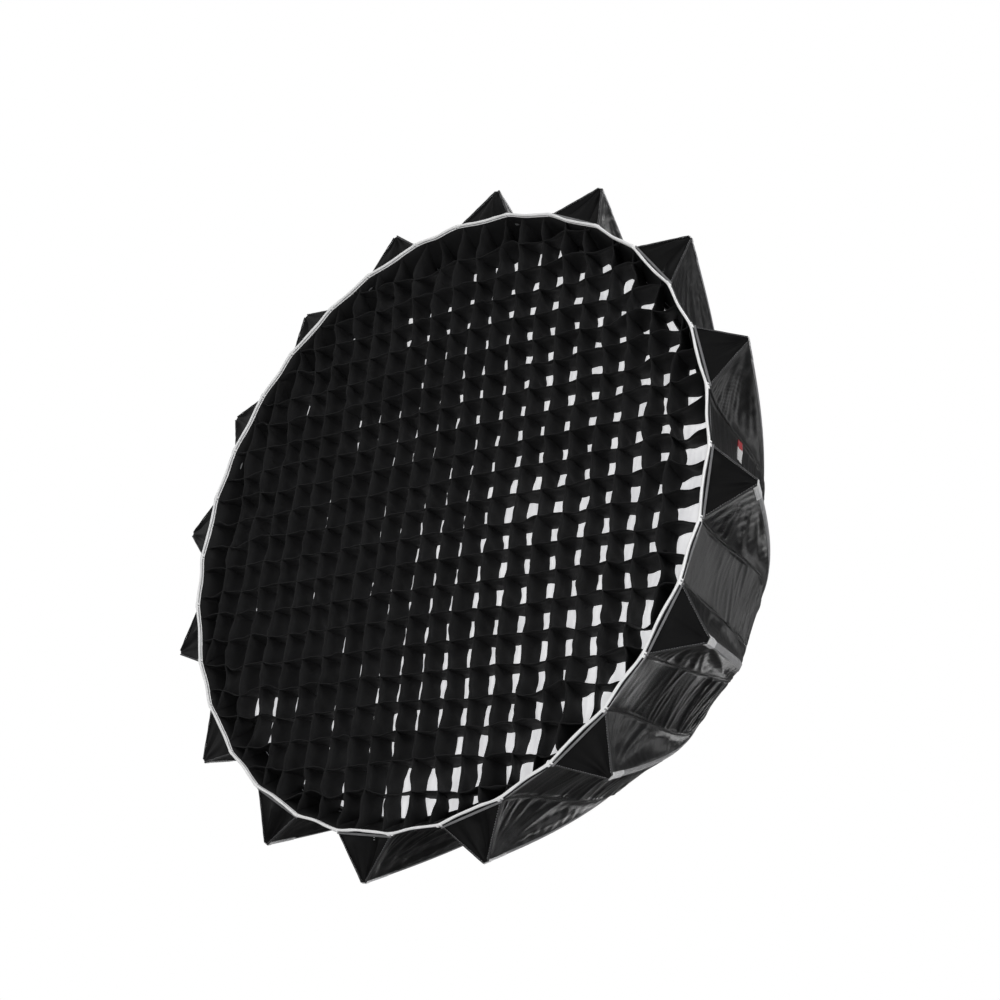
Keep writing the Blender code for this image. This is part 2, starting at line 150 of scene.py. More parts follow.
def to_row(points, number):
    """From one rod's frame (x round the ring, depth, radius) to the model's frame."""
    return vector_to_row(points, number) - (0, FRONT_TO_SEAT, 0)


def around(radius, depth, angle):
    """Points at these radii, depths and angles round the axis."""
    return np.stack([radius * np.sin(angle), depth - FRONT_TO_SEAT + 0 * angle, radius * np.cos(angle)], -1)


def on_circle(angle):
    return np.stack([np.sin(angle), np.cos(angle)], -1)


def vector_to_row(vectors, number):
    """The same for directions, which keep their depth."""
    angle = (number - 1) * ROD_STEP
    x, depth, r = np.moveaxis(vectors, -1, 0)
    return np.stack([x * cos(angle) + r * sin(angle), depth, r * cos(angle) - x * sin(angle)], -1)


def ridge_radius(depth):
    base, slope, bend = RIDGE_CURVE
    return np.sqrt(base - slope * depth + bend * depth * depth)


def ridge_depth(radius):
    base, slope, bend = RIDGE_CURVE
    return (slope - np.sqrt(slope**2 - 4 * bend * (base - radius * radius))) / (2 * bend)


def corners(t):
    """Ridge, seam and edge corner of the right half of a panel at each share t of its length."""
    front_r, rear_r = ridge_radius(TIP_DEPTH), ridge_radius(REAR_DEPTH)
    ridge_r = front_r + (rear_r - front_r) * t
    top = ridge_depth(ridge_r)
    depth = (top - TIP_DEPTH) * REAR_DEPTH / (REAR_DEPTH - TIP_DEPTH)
    x = np.minimum(depth / FIN_DEPTH, 1)
    seam_r = ridge_radius(depth) - FIN_MIN - FIN_HEIGHT * (1 - x * x * (3 - 2 * x))
    half = RIM_HALF_WIDTH * (1 - (depth / FRONT_TO_SEAT) ** 1.1)
    across = seam_r * cos(HALF_STEP) + half * sin(HALF_STEP)
    ridge = np.stack([np.full_like(t, RIDGE_HALF), top, ridge_r], -1)
    seam = np.stack([half, depth, seam_r], -1)
    edge = np.stack([across * sin(HALF_STEP), depth, across * cos(HALF_STEP)], -1)
    return ridge, seam, edge


# Tables along the panel's length: t, distance along the ridge, normals of the flank and the strip
TABLE_T = np.linspace(0, 1, 801)
TABLE_RIDGE, TABLE_SEAM, TABLE_EDGE = corners(TABLE_T)
TABLE_ALONG = running_length(TABLE_RIDGE)
TABLE_WAY = unit(np.gradient(TABLE_RIDGE, axis=0))
TABLE_SEAM_WAY = unit(np.gradient(TABLE_SEAM, axis=0))
TABLE_EDGE_WAY = unit(np.gradient(TABLE_EDGE, axis=0))
TABLE_FLANK_N = unit(np.cross(TABLE_SEAM - TABLE_RIDGE, TABLE_WAY + TABLE_SEAM_WAY))
TABLE_FLANK_N *= np.sign(TABLE_FLANK_N[:, :1])
TABLE_STRIP_N = unit(np.cross(TABLE_EDGE - TABLE_SEAM, TABLE_EDGE_WAY))
TABLE_STRIP_N *= np.sign(TABLE_STRIP_N[:, 2:])
TABLE_RIDGE_N = np.stack([0 * TABLE_T, -TABLE_WAY[:, 2], TABLE_WAY[:, 1]], -1)
TABLE_RIDGE_N *= np.sign(TABLE_RIDGE_N[:, 2:])
PANEL_LENGTH = TABLE_ALONG[-1]


def at(table, t):
    """Rows of a table at each share t."""
    if table.ndim == 1:
        return np.interp(t, TABLE_T, table)
    return rows_at(t, TABLE_T, table)


def share_at(along):
    return np.interp(along, TABLE_ALONG, TABLE_T)


# ---------------------------------------------------------------- the sewn skin's surface


def welt(gap):
    """Height of the felled seam at this distance from the stitching line."""
    return 0.0012 * smooth(0, 0.0014, gap) * (1 - smooth(0.0045, 0.0065, gap))


def strip_folds(strip, along, across):
    """Height of the tension folds of one strip; across runs from -1 to 1 between its two seams."""
    rng = np.random.default_rng(500 + strip)
    height = 0.0022 * soft_noise(np.stack([along * 1.6, across * 0.05 + 0 * along], -1), 0.16, 900 + strip)
    place = 0.045
    while place < PANEL_LENGTH:
        gap = rng.uniform(0.009, 0.022)
        size = rng.uniform(0.3, 1.0) * STRIP_FOLD * (0.30 + 0.70 * smooth(0.14, 0.36, place))
        tilt, bow = rng.normal(0.006, 0.012), rng.normal(0, 0.006)
        width = gap * rng.uniform(0.25, 0.42)
        start = rng.choice([-1.0, 0.0, 0.0, 1.0])
        x = (along - place - tilt * across - bow * across * across) / width
        fade = 1.0 if start == 0 else 1 - 0.8 * smooth(-0.3, 0.9, -start * across)
        height = height + size * fade * np.exp(-np.abs(x) ** 1.25)
        place += gap
    return height


def flank_folds(number, side, along, across):
    """Height of the folds that fan out from a rod's tip over one flank."""
    rng = np.random.default_rng(700 + 2 * number + (side > 0))
    reach = np.hypot(along, across)
    turn = np.arctan2(across, along + 1e-9)
    height = 0
    for k in range(13):
        centre = rng.uniform(0.02, 0.10) + k * 0.115
        width = rng.uniform(0.030, 0.058)
        size = rng.uniform(0.25, 1.0) * FLANK_FOLD * rng.choice([1, 1, 1, -0.6])
        end = rng.uniform(0.14, 0.5)
        bend = rng.normal(0, 0.16)
        x = (turn - centre - bend * (reach - 0.1)) / width
        swell = smooth(0.02, 0.20, reach) * (1 - smooth(end, end + 0.25, reach))
        height = height + size * swell * np.exp(-np.abs(x) ** 1.3)
    late = smooth(0.3, 0.6, along)
    ripple = soft_noise(np.stack([along, across * 0.3], -1), 0.045, 1100 + 2 * number + (side > 0))
    return height + 0.0010 * late * ripple


def flank(t, share, number, side):
    """Points of the right flank, from ridge (share 0) to seam (share 1), with one side's folds."""
    ridge, seam = at(TABLE_RIDGE, t), at(TABLE_SEAM, t)
    normal = at(TABLE_FLANK_N, t)
    width = size_of(seam - ridge)
    along, across = at(TABLE_ALONG, t), share * width
    front = smooth(0, 0.03, along)
    hold = smooth(0, 0.012, across) * smooth(0, 0.018, width - across)
    height = flank_folds(number, side, along, across)
    height = height - 0.0055 * np.sin(pi * share) * (1 - smooth(0.2, 0.7, along))
    rows = ridge + (seam - ridge) * share[..., None]
    height = height + 0.0006 * soft_noise(rows, 0.03, 40 + number)
    height = front * (hold * height + welt(width - across) * (share > 0.3))
    return rows + normal * height[..., None], normal


def strip(t, share, number, side):
    """Points of the right strip, from seam (share 0) to the middle between two rods (share 1)."""
    seam, edge = at(TABLE_SEAM, t), at(TABLE_EDGE, t)
    normal = at(TABLE_STRIP_N, t)
    width = size_of(edge - seam)
    along, gap = at(TABLE_ALONG, t), share * width
    between = (number - 1 if side > 0 else number - 2) % RODS
    across = -side * (1 - share)
    hold = smooth(0, 0.010, gap)
    front = smooth(0, 0.03, along)
    height = strip_folds(between, along + 0 * share, across) * (0.25 + 0.75 * hold) * smooth(0, 0.002, gap)
    # The middle of a strip is pulled in a little between its two seams
    height = height - 0.004 * (1 - across * across) * smooth(0, 0.2, along)
    height = front * (height + welt(gap))
    rows = seam + (edge - seam) * share[..., None]
    return rows + normal * height[..., None], normal


def near_seam(width):
    """Shares across a width with close columns at its start, where the seam is: (rows, columns)."""
    scale = np.minimum(1, width / 0.024)
    return np.stack([offset * scale / width for offset in SEAM_OFFSETS], -1)


def row_shares():
    steps = np.arange(0, PANEL_LENGTH, ROW_STEP)
    front = np.array([0.0015, 0.0035, 0.0075, 0.0125, 0.0175, 0.0225, 0.0275])
    return share_at(np.unique(np.concatenate([steps, front, [PANEL_LENGTH]])))


def half_panel(t, number, side):
    """Points from the ridge's middle line out to the strip's edge, and their distance across the cloth."""
    t = t[:, None]
    ridge, seam, edge = at(TABLE_RIDGE, t), at(TABLE_SEAM, t), at(TABLE_EDGE, t)
    width = size_of(seam - ridge)
    near = 1 - near_seam(width[:, 0])[:, ::-1]
    far = np.linspace(0, 1, FLANK_COLUMNS)[None, :-1] * near[:, :1]
    flank_shares = np.concatenate([far, near], 1)
    flank_points, _ = flank(np.broadcast_to(t, flank_shares.shape), flank_shares, number, side)
    strip_width = size_of(edge - seam)
    close = near_seam(strip_width[:, 0])[:, 1:]
    rest = close[:, -1:] + (1 - close[:, -1:]) * np.linspace(0, 1, STRIP_COLUMNS)[None, 1:]
    strip_shares = np.concatenate([close, rest], 1)
    strip_points, _ = strip(np.broadcast_to(t, strip_shares.shape), strip_shares, number, side)
    middle = ridge[:, :1] * [0, 1, 1]
    points = np.concatenate([middle, flank_points, strip_points], 1)
    on_flank, on_strip = RIDGE_HALF + flank_shares * width, RIDGE_HALF + width + strip_shares * strip_width
    distance = np.concatenate([0 * t, on_flank, on_strip], 1)
    points[..., 0] *= side
    return points, distance * side, flank_shares[0]


def cuff_rows(last):
    """The gathered rear end, drawn in by its elastic and turned back over the hub's edge."""
    angle = np.arctan2(last[:, 0], last[:, 2])
    start_r, start_depth = np.hypot(last[:, 0], last[:, 2]), last[:, 1]
    path = [(0.0, start_r, start_depth)]  # share of the way, radius, depth
    path += [(0.45, 0.1300, 0.8752), (0.6, 0.1276, 0.8775), (0.9, 0.1274, 0.8862), (1.0, 0.1290, 0.8885)]
    rows = []
    for k in range(1, 13):
        share = k / 12
        for (a, r0, d0), (b, r1, d1) in zip(path[:-1], path[1:]):
            if a < share <= b:
                mix = (share - a) / (b - a)
                r = r0 * (1 - mix) + r1 * mix
                depth = d0 * (1 - mix) + d1 * mix
        gather = 0.0009 * (1 + np.sin(angle * 128)) + 0.0004 * (1 + np.sin(angle * 224 + 1.3))
        r = r + gather * smooth(0.1, 0.5, share)
        rows.append(np.stack([r * np.sin(angle), depth + 0 * angle, r * np.cos(angle)], -1))
    return np.array(rows)


def grid_faces(rows, columns):
    k = np.arange(rows - 1)[:, None] * columns + np.arange(columns - 1)[None, :]
    return np.stack([k, k + columns, k + columns + 1, k + 1], -1).reshape(-1, 4)


def fold_keep(t):
    """Share of its width the cover keeps at each row, so that neighbours meet when the rods are folded."""
    edge = at(TABLE_EDGE, t)
    ahead, out = HINGE[0] - edge[..., 1], edge[..., 2] - HINGE[1]
    folded = HINGE[1] + out * cos(FOLD_ANGLE) - ahead * sin(FOLD_ANGLE)
    keep = 1.03 * folded * np.tan(HALF_STEP) / np.maximum(edge[..., 0], 1e-4) + 0.01
    return np.clip(np.maximum.accumulate(keep), FOLD_KEEP, 1.0)


def zone_ends(t):
    """Row numbers at which one zone of the cover ends and the next begins, and each zone's kept share."""
    keep = fold_keep(t)
    levels = np.linspace(keep[0], keep[-1], ZONES + 1)[1:-1]
    ends = [0] + [int(k) for k in np.searchsorted(keep, levels + 1e-9)] + [len(t) - 1]
    ends = sorted(set(ends))
    return [(a, b, float((keep[a] + keep[b]) / 2)) for a, b in zip(ends[:-1], ends[1:])]


def surface_normals(points):
    """Outward normal at each point of a grid whose columns run round the ring and rows run back."""
    return unit(np.cross(np.gradient(points, axis=1), np.gradient(points, axis=0)))


def facet_points(shares, number):
    """The black front face of one tip: rows from the piping up to the rod's end."""
    ridge, seam = TABLE_RIDGE[0], TABLE_SEAM[0]
    rise = (1 - shares)[::-1]
    count = FACET_COLUMNS + 1
    across = np.linspace(-1, 1, count)
    side = seam + (ridge - seam) * rise[:, None]
    points = np.empty((len(rise), count, 3))
    points[..., 0] = side[:, :1] * across
    points[..., 1:] = side[:, None, 1:]
    normal = unit(np.cross([1.0, 0, 0], ridge - seam))
    normal *= -np.sign(normal[1])
    rng = np.random.default_rng(300 + number)
    below = (1 - rise)[:, None] * size_of(ridge - seam)
    turn = points[..., 0] / np.maximum(below * 0.6 + 0.004, 1e-6)
    height = 0
    for _ in range(6):
        centre, width = rng.uniform(-0.85, 0.85), rng.uniform(0.05, 0.14)
        size = rng.uniform(0.4, 1.0) * FACET_FOLD * rng.choice([1, -1])
        height = height + size * np.exp(-np.abs((turn - centre) / width) ** 1.5)
    height = height + 0.004 * soft_noise(points[..., [0, 2]], 0.12, 320 + number)
    hold = smooth(0, 0.35, 1 - np.abs(across))[None, :] * smooth(0, 0.25, rise)[:, None]
    hold = hold * smooth(0, 0.3, 1 - rise)[:, None]
    return points + normal * (height * hold)[..., None], below


def shown(name, data):
    obj = bpy.data.objects.new(name, data)
    bpy.context.scene.collection.objects.link(obj)
    return obj


# ---------------------------------------------------------------- ribbons, tubes and stitches


class Heap:
    """Vertices, faces, material numbers, cloth coordinates and normals of a piece made of closed parts."""

    def __init__(self):
        self.points, self.faces, self.slots, self.uv, self.normals, self.count = [], [], [], [], [], 0

    def add(self, points, faces, slot, uv=None, normals=None):
        points = points.reshape(-1, 3)
        self.points.append(points)
        self.uv.append(points[:, [0, 2]] if uv is None else uv.reshape(-1, 2))
        self.normals.append(0 * points if normals is None else normals)
        self.faces.extend((faces + self.count).tolist())
        self.slots.extend([slot] * len(faces) if np.isscalar(slot) else slot)
        self.count += len(points)

    def shell(self, points, normals, uv, outside, inside, thickness=CLOTH):
        """A closed layer of cloth under a grid of points: outer face, lining and the cut edges."""
        rows, columns = points.shape[:2]
        n = rows * columns
        outer = grid_faces(rows, columns)[:, ::-1]
        inner = outer[:, ::-1] + n
        k = np.arange(n).reshape(rows, columns)
        rims = []
        for line in (k[0, ::-1], k[-1], k[:, 0], k[::-1, -1]):
            rims.append(np.stack([line[:-1], line[1:], line[1:] + n, line[:-1] + n], -1))
        faces = np.concatenate([outer, inner] + rims)
        slots = [outside] * len(outer) + [inside] * len(inner) + [outside] * sum(len(rim) for rim in rims)
        both = np.concatenate([points.reshape(-1, 3), (points - normals * thickness).reshape(-1, 3)])
        turned = np.concatenate([normals.reshape(-1, 3), -normals.reshape(-1, 3)])
        self.add(both, faces, slots, np.concatenate([uv.reshape(-1, 2)] * 2), turned)

    def loft(self, rings, slot):
        """Closed rings of points, joined one to the next, with capped ends."""
        n, m = rings.shape[:2]
        i, j = np.arange(n - 1)[:, None] * m, np.arange(m)[None, :]
        beside = (j + 1) % m
        faces = np.stack([i + j, i + m + j, i + m + beside, i + beside], -1).reshape(-1, 4)
        run, girth = running_length(rings.mean(1)), running_length(rings[0])
        uv = np.stack([np.broadcast_to(girth, (n, m)), np.broadcast_to(run[:, None], (n, m))], -1)
        self.add(rings, faces, slot, uv)
        base = self.count - n * m
        self.faces.append(list(range(base + m - 1, base - 1, -1)))
        self.faces.append([base + (n - 1) * m + k for k in range(m)])
        self.slots.extend([slot, slot])

    def ribbon(self, lines, normals, slot, thickness):
        """A flat tape over rows of points: lines and normals are (rows, columns, 3)."""
        top = lines + normals * thickness
        top[:, 0] -= normals[:, 0] * thickness * 0.35
        top[:, -1] -= normals[:, -1] * thickness * 0.35
        under = lines - normals * TAPE_SINK
        self.loft(np.concatenate([top, under[:, ::-1]], 1), slot)

    def tube(self, line, radius, slot, sides=8, squeeze=(1.0, 1.0), out=None):
        """A round or oval cord along a line; an oval's outward direction is forward unless out gives it."""
        way = unit(np.gradient(line, axis=0))
        if out is None:
            out = np.tile([0.0, -1.0, 0.0], (len(line), 1))
        across = unit(np.cross(way, out))
        up = np.cross(across, way)
        radius = np.broadcast_to(radius, len(line))
        angle = np.arange(sides) * 2 * pi / sides
        ring = across[:, None] * (np.cos(angle) * squeeze[0])[None, :, None]
        ring = ring + up[:, None] * (np.sin(angle) * squeeze[1])[None, :, None]
        self.loft(line[:, None] + ring * radius[:, None, None], slot)

    def stitches(self, line, normals, slot, length=0.0033, gap=0.0016, radius=0.00033, lift=0.0002):
        """One row of thread stitches on a surface line."""
        run = running_length(line)
        starts = np.arange(gap, run[-1] - length, length + gap)
        if not len(starts):
            return
        stations = starts[:, None] + np.array([0.0, 0.5, 1.0]) * length
        place = rows_at(stations, run, line)
        normal = unit(rows_at(stations, run, normals))
        side = unit(np.cross(place[:, 2:] - place[:, :1], normal))
        rise = np.array([-0.6, 1.0, -0.6])[None, :, None] * lift
        place = place + normal * rise
        wide = np.array([0.45, 1.0, 0.45])[None, :, None] * radius
        side, normal = side * wide, normal * wide
        ring = np.stack([place + side, place + normal, place - side, place - normal], 2)
        count = len(starts)
        base = (np.arange(count) * 12)[:, None, None]
        j = np.arange(4)[None, :]
        quads = []
        for row in range(2):
            a, b = row * 4 + j, row * 4 + (j + 1) % 4
            quads.append(np.stack([a, a + 4, b + 4, b], -1)[0])
        quads.append(np.array([[0, 1, 2, 3], [11, 10, 9, 8]]))
        quads = np.concatenate(quads)[None]
        self.add(ring, (quads + base).reshape(-1, 4), slot)

    def object(self, name, *looks, sharp=45.0):
        """The finished piece; slot numbers count through its looks, which are keys of MAT."""
        mesh = bpy.data.meshes.new(name)
        mesh.from_pydata(np.concatenate(self.points).tolist(), [], self.faces)
        for look in looks:
            mesh.materials.append(MAT[look])
        mesh.polygons.foreach_set("material_index", np.asarray(self.slots, np.int32))
        layer = mesh.uv_layers.new(name="cloth")
        loops = np.empty(len(mesh.loops), np.int32)
        mesh.loops.foreach_get("vertex_index", loops)
        layer.data.foreach_set("uv", np.concatenate(self.uv).astype(np.float32)[loops].ravel())
        mesh.shade_smooth()
        if sharp:
            mesh.set_sharp_from_angle(angle=radians(sharp))
        normals = np.concatenate(self.normals)
        if np.any(normals):  # where a vertex has none of its own, Blender works it out
            mesh.normals_split_custom_set_from_vertices(normals.tolist())
        return shown(name, mesh)


# ---------------------------------------------------------------- materials


class Nodes:
    """Short calls for building one material's nodes."""

    def __init__(self, name, colour=(0.5, 0.5, 0.5), roughness=0.5, metallic=0.0):
        self.material = bpy.data.materials.new(name)
        self.material.use_nodes = True
        self.tree = self.material.node_tree
        self.shader = self.tree.nodes["Principled BSDF"]
        self.set("Base Color", (*colour, 1))
        self.set("Roughness", roughness)
        self.set("Metallic", metallic)
        self.material.diffuse_color = (*colour, 1)

    def set(self, socket, value):
        self.shader.inputs[socket].default_value = value

    def add(self, kind, **settings):
        node = self.tree.nodes.new(kind)
        for key, value in settings.items():
            if key in node.inputs:
                node.inputs[key].default_value = value
            else:
                setattr(node, key, value)
        return node

    def link(self, source, target, socket):
        self.tree.links.new(source, target.inputs[socket])

    def coordinates(self, kind="Object"):
        return self.add("ShaderNodeTexCoord").outputs[kind]

    def mapped(self, vector, socket, value):
        """A coordinate stretched or turned."""
        node = self.add("ShaderNodeMapping", **{socket: value})
        self.link(vector, node, "Vector")
        return node.outputs["Vector"]

    def noise(self, scale, detail=3.0, roughness=0.5, vector=None, distortion=0.0):
        settings = {"Scale": scale, "Detail": detail, "Roughness": roughness, "Distortion": distortion}
        node = self.add("ShaderNodeTexNoise", **settings)
        self.link(vector or self.coordinates(), node, "Vector")
        return node.outputs["Fac"]

    def wave(self, period, axis, vector, distortion=0.0):
        node = self.add("ShaderNodeTexWave", Scale=0.314 / period, Distortion=distortion)
        node.bands_direction = axis
        self.link(vector, node, "Vector")
        return node.outputs["Fac"]

    def math(self, kind, a, b, clamp=False):
        node = self.add("ShaderNodeMath", operation=kind, use_clamp=clamp)
        for k, value in enumerate((a, b)):
            if isinstance(value, (int, float)):
                node.inputs[k].default_value = value
            else:
                self.tree.links.new(value, node.inputs[k])
        return node.outputs[0]

    def sum(self, a, share_a, b, share_b):
        return self.math("ADD", self.math("MULTIPLY", a, share_a), self.math("MULTIPLY", b, share_b))

    def ramp(self, fac, stops):
        node = self.add("ShaderNodeValToRGB")
        self.link(fac, node, "Fac")
        elements = node.color_ramp.elements
        while len(elements) < len(stops):
            elements.new(0.5)
        for element, (place, colour) in zip(elements, stops):
            element.position = place
            element.color = (*colour, 1)
        return node.outputs["Color"]

    def spread(self, fac, low, high):
        node = self.add("ShaderNodeMapRange")
        self.link(fac, node, "Value")
        node.inputs["To Min"].default_value, node.inputs["To Max"].default_value = low, high
        return node.outputs[0]

    def colour(self, output):
        self.link(output, self.shader, "Base Color")

    def rough(self, output):
        self.link(output, self.shader, "Roughness")

    def bump(self, height, strength=0.3, distance=0.001, under=None):
        node = self.add("ShaderNodeBump", Strength=strength, Distance=distance)
        self.link(height, node, "Height")
        if under is not None:
            self.link(under, node, "Normal")
        return node.outputs["Normal"]

    def normal(self, output):
        self.link(output, self.shader, "Normal")


def mixed(colour, other, share):
    return tuple(a + (b - a) * share for a, b in zip(colour, other))


def cloth(name, dark, light, roughness, sheen=0.0, specular=0.5):
    """A plain-woven cloth: two thread directions, mottled dye, worn-in softness and a varied gloss."""
    n = Nodes(name, light, sum(roughness) / 2)
    n.set("Specular IOR Level", specular)
    n.set("Sheen Weight", sheen)
    n.set("Sheen Roughness", 0.45)
    uv = n.coordinates("UV")
    warp, weft = n.wave(0.0009, "X", uv, 0.4), n.wave(0.0009, "Y", uv, 0.4)
    threads = n.math("MULTIPLY", warp, weft)
    blotch = n.noise(9.0, 4.0, 0.6)
    fine = n.noise(420.0, 2.0, 0.6)
    tone = n.sum(blotch, 0.75, fine, 0.25)
    tone = n.math("ADD", tone, n.math("MULTIPLY", threads, 0.12), clamp=True)
    n.colour(n.ramp(tone, [(0.25, dark), (0.55, mixed(dark, light, 0.55)), (0.8, light)]))
    n.rough(n.spread(n.noise(14.0, 4.0, 0.55), roughness[0], roughness[1]))
    soft = n.bump(n.noise(38.0, 3.0, 0.5), 0.25, 0.0022)
    n.normal(n.bump(threads, 0.35, 0.00016, soft))
    return n.material


def webbing(name, dark, light, roughness=(0.45, 0.65), rib=0.0018, painted_glow=0.0):
    """Narrow woven tape with ribs across it and a herringbone shift."""
    n = Nodes(name, light, 0.55)
    n.set("Sheen Weight", 0.15)
    n.set("Sheen Roughness", 0.4)
    uv = n.coordinates("UV")
    ribs, cords = n.wave(rib, "DIAGONAL", uv, 1.2), n.wave(rib * 0.6, "Y", uv, 0.6)
    height = n.sum(ribs, 0.6, cords, 0.4)
    tone = n.sum(height, 0.45, n.noise(60.0, 4.0, 0.6), 0.55)
    shade = n.ramp(tone, [(0.2, dark), (0.75, light)])
    n.colour(shade)
    if painted_glow:  # painted light: the tape glows a little, brighter than the lamps alone make it
        n.set("Emission Strength", painted_glow)
        n.link(shade, n.shader, "Emission Color")
    n.rough(n.spread(n.noise(90.0), roughness[0], roughness[1]))
    n.normal(n.bump(height, 0.5, 0.0003))
    return n.material


def plastic(name, colour, roughness, grain=900.0, strength=0.16, wear=0.3):
    """Moulded plastic with a spark-eroded grain, paler scuffs and finger gloss."""
    n = Nodes(name, colour, roughness)
    scuffs = n.noise(130.0, 6.0, 0.7, distortion=0.6)
    worn = mixed(colour, (0.35, 0.35, 0.35), wear * 0.3)
    n.colour(n.ramp(scuffs, [(0.42, colour), (0.62, mixed(colour, worn, 0.4)), (0.78, worn)]))
    n.rough(n.spread(n.noise(35.0, 5.0, 0.6), max(0.05, roughness - 0.1), roughness + 0.14))
    n.normal(n.bump(n.noise(grain, 2.0, 0.5), strength, 0.0002))
    return n.material


def metal(name, colour, roughness):
    """Machined metal: fine streaks, faint stains and varied gloss."""
    n = Nodes(name, colour, roughness, 1.0)
    lines = n.noise(1.0, 4.0, 0.6, n.mapped(n.coordinates(), "Scale", (900.0, 30.0, 900.0)))
    n.colour(n.ramp(n.noise(70.0, 5.0, 0.65), [(0.3, mixed(colour, (0, 0, 0), 0.25)), (0.7, colour)]))
    n.rough(n.spread(lines, roughness * 0.7, min(1.0, roughness * 1.5)))
    n.normal(n.bump(lines, 0.08, 0.0001))
    return n.material


def rod_finish():
    """Pultruded fibreglass: fibres run along the rod under a thin resin gloss."""
    n = Nodes("fibreglass_black", (0.014, 0.014, 0.015), 0.3)
    n.set("Coat Weight", 0.5)
    n.set("Coat Roughness", 0.15)
    fibres = n.noise(240.0, 5.0, 0.6, distortion=0.3)
    n.colour(n.ramp(fibres, [(0.35, (0.008, 0.008, 0.009)), (0.7, (0.035, 0.035, 0.036))]))
    n.rough(n.spread(n.noise(60.0), 0.24, 0.42))
    n.normal(n.bump(fibres, 0.12, 0.0002))
    return n.material


def silver_lining():
    """Reflective lining: a fine diamond emboss on coated cloth."""
    n = Nodes("silver_lining_cloth", (0.62, 0.63, 0.64), 0.34, 0.75)
    turned = n.mapped(n.coordinates("UV"), "Rotation", (0, 0, pi / 4))
    diamonds = n.math("MULTIPLY", n.wave(0.004, "X", turned), n.wave(0.004, "Y", turned))
    n.colour(n.ramp(n.noise(12.0, 4.0, 0.6), [(0.3, (0.50, 0.51, 0.52)), (0.7, (0.70, 0.71, 0.72))]))
    n.rough(n.spread(n.noise(30.0, 3.0, 0.5), 0.26, 0.46))
    n.normal(n.bump(diamonds, 0.4, 0.0004, n.bump(n.noise(26.0, 3.0, 0.5), 0.3, 0.002)))
    return n.material


def diffuser_cloth():
    """White diffusion cloth with faint vertical slubs; it glows with painted light in place of lamp light
    shining through it.
    """
    n = Nodes("white_diffusion_cloth", (0.86, 0.86, 0.87), 0.75)
    # Painted light: the cloth's own glow stands in for light coming through it from behind
    n.set("Emission Strength", 0.72)
    n.set("Sheen Weight", 0.1)
    slubs = n.noise(1.0, 4.0, 0.6, n.mapped(n.coordinates(), "Scale", (260.0, 60.0, 34.0)))
    blotch = n.noise(16.0, 3.0, 0.5)
    tone = n.sum(slubs, 0.6, blotch, 0.4)
    shade = n.ramp(tone, [(0.32, (0.66, 0.66, 0.68)), (0.62, (0.90, 0.90, 0.91))])
    n.colour(shade)
    n.link(shade, n.shader, "Emission Color")
    n.rough(n.spread(blotch, 0.65, 0.85))
    n.normal(n.bump(slubs, 0.25, 0.0004))
    return n.material


MAT = {
    "nylon": cloth(
        "black_nylon_satin",
        (0.0040, 0.0040, 0.0044),
        (0.0100, 0.0100, 0.0108),
        (0.28, 0.42),
        sheen=0.02,
        specular=0.4,
    ),
    "facet": cloth(
        "black_nylon_matt", (0.0022, 0.0022, 0.0024), (0.0055, 0.0055, 0.0059), (0.50, 0.68), specular=0.16
    ),
    "silver": silver_lining(),
    "tape": webbing("silver_grey_webbing", (0.16, 0.16, 0.165), (0.34, 0.34, 0.35)),
    "patch": webbing("pale_grey_webbing", (0.52, 0.52, 0.53), (0.84, 0.84, 0.85), rib=0.0024),
    "stripe": webbing("white_end_stripe", (0.62, 0.62, 0.62), (0.85, 0.85, 0.85)),
    "hem": webbing("grey_hem_tape", (0.13, 0.13, 0.135), (0.30, 0.30, 0.31)),
    "binding": webbing("dark_grey_binding", (0.012, 0.012, 0.013), (0.042, 0.042, 0.044), rib=0.0012),
    "thread_black": webbing("black_thread", (0.012, 0.012, 0.012), (0.035, 0.035, 0.036), (0.4, 0.5), 0.0005),
    "thread_grey": webbing("grey_thread", (0.20, 0.20, 0.21), (0.42, 0.42, 0.43), (0.4, 0.5), 0.0005),
    # The piping's emission is painted light, so it looks brighter than the lamps make it
    "piping": webbing("white_piping_tape", (0.80, 0.80, 0.80), (0.95, 0.95, 0.95), rib=0.0013, painted_glow=0.16),
    "grid": cloth(
        "black_grid_cloth", (0.0080, 0.0080, 0.0084), (0.0200, 0.0200, 0.0208), (0.6, 0.8), specular=0.14
    ),
    "grid_edge": cloth(
        "black_grid_hem", (0.006, 0.006, 0.0062), (0.014, 0.014, 0.0145), (0.6, 0.8), specular=0.2
    ),
    "diffuser": diffuser_cloth(),
    "label_red": webbing("red_woven_tab", (0.30, 0.012, 0.02), (0.48, 0.03, 0.04), rib=0.0008),
    "label_white": webbing("white_woven_tab", (0.58, 0.58, 0.58), (0.78, 0.78, 0.78), rib=0.0008),
    "rod": rod_finish(),
    "hub": plastic("glass_filled_nylon", (0.018, 0.018, 0.019), 0.44),
    "bayonet": metal("turned_aluminium", (0.62, 0.62, 0.63), 0.28),
    "wire": metal("spring_wire", (0.38, 0.38, 0.39), 0.3),
    "screw": metal("black_oxide_steel", (0.045, 0.045, 0.047), 0.42),
    "red": plastic("red_anodised_look", (0.42, 0.018, 0.026), 0.34, 1400.0, 0.1, 0.2),
    "rubber": plastic("knob_rubber_matt", (0.022, 0.022, 0.022), 0.72, 700.0, 0.3, 0.25),
}


# ---------------------------------------------------------------- skin pieces


def rib_body(number):
    return f"rib_{number:02d}"


def squash_cover(piece):
    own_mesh(piece)


def sew(heap, points, normals, number, slot, *size):
    """A row of stitches along a line given in one rod's frame."""
    heap.stitches(to_row(points, number), vector_to_row(normals, number), slot, *size)


def tape_over(heap, points, normals, number, slot, thickness):
    """A flat tape over rows of points given in one rod's frame."""
    heap.ribbon(to_row(points, number), vector_to_row(normals, number), slot, thickness)


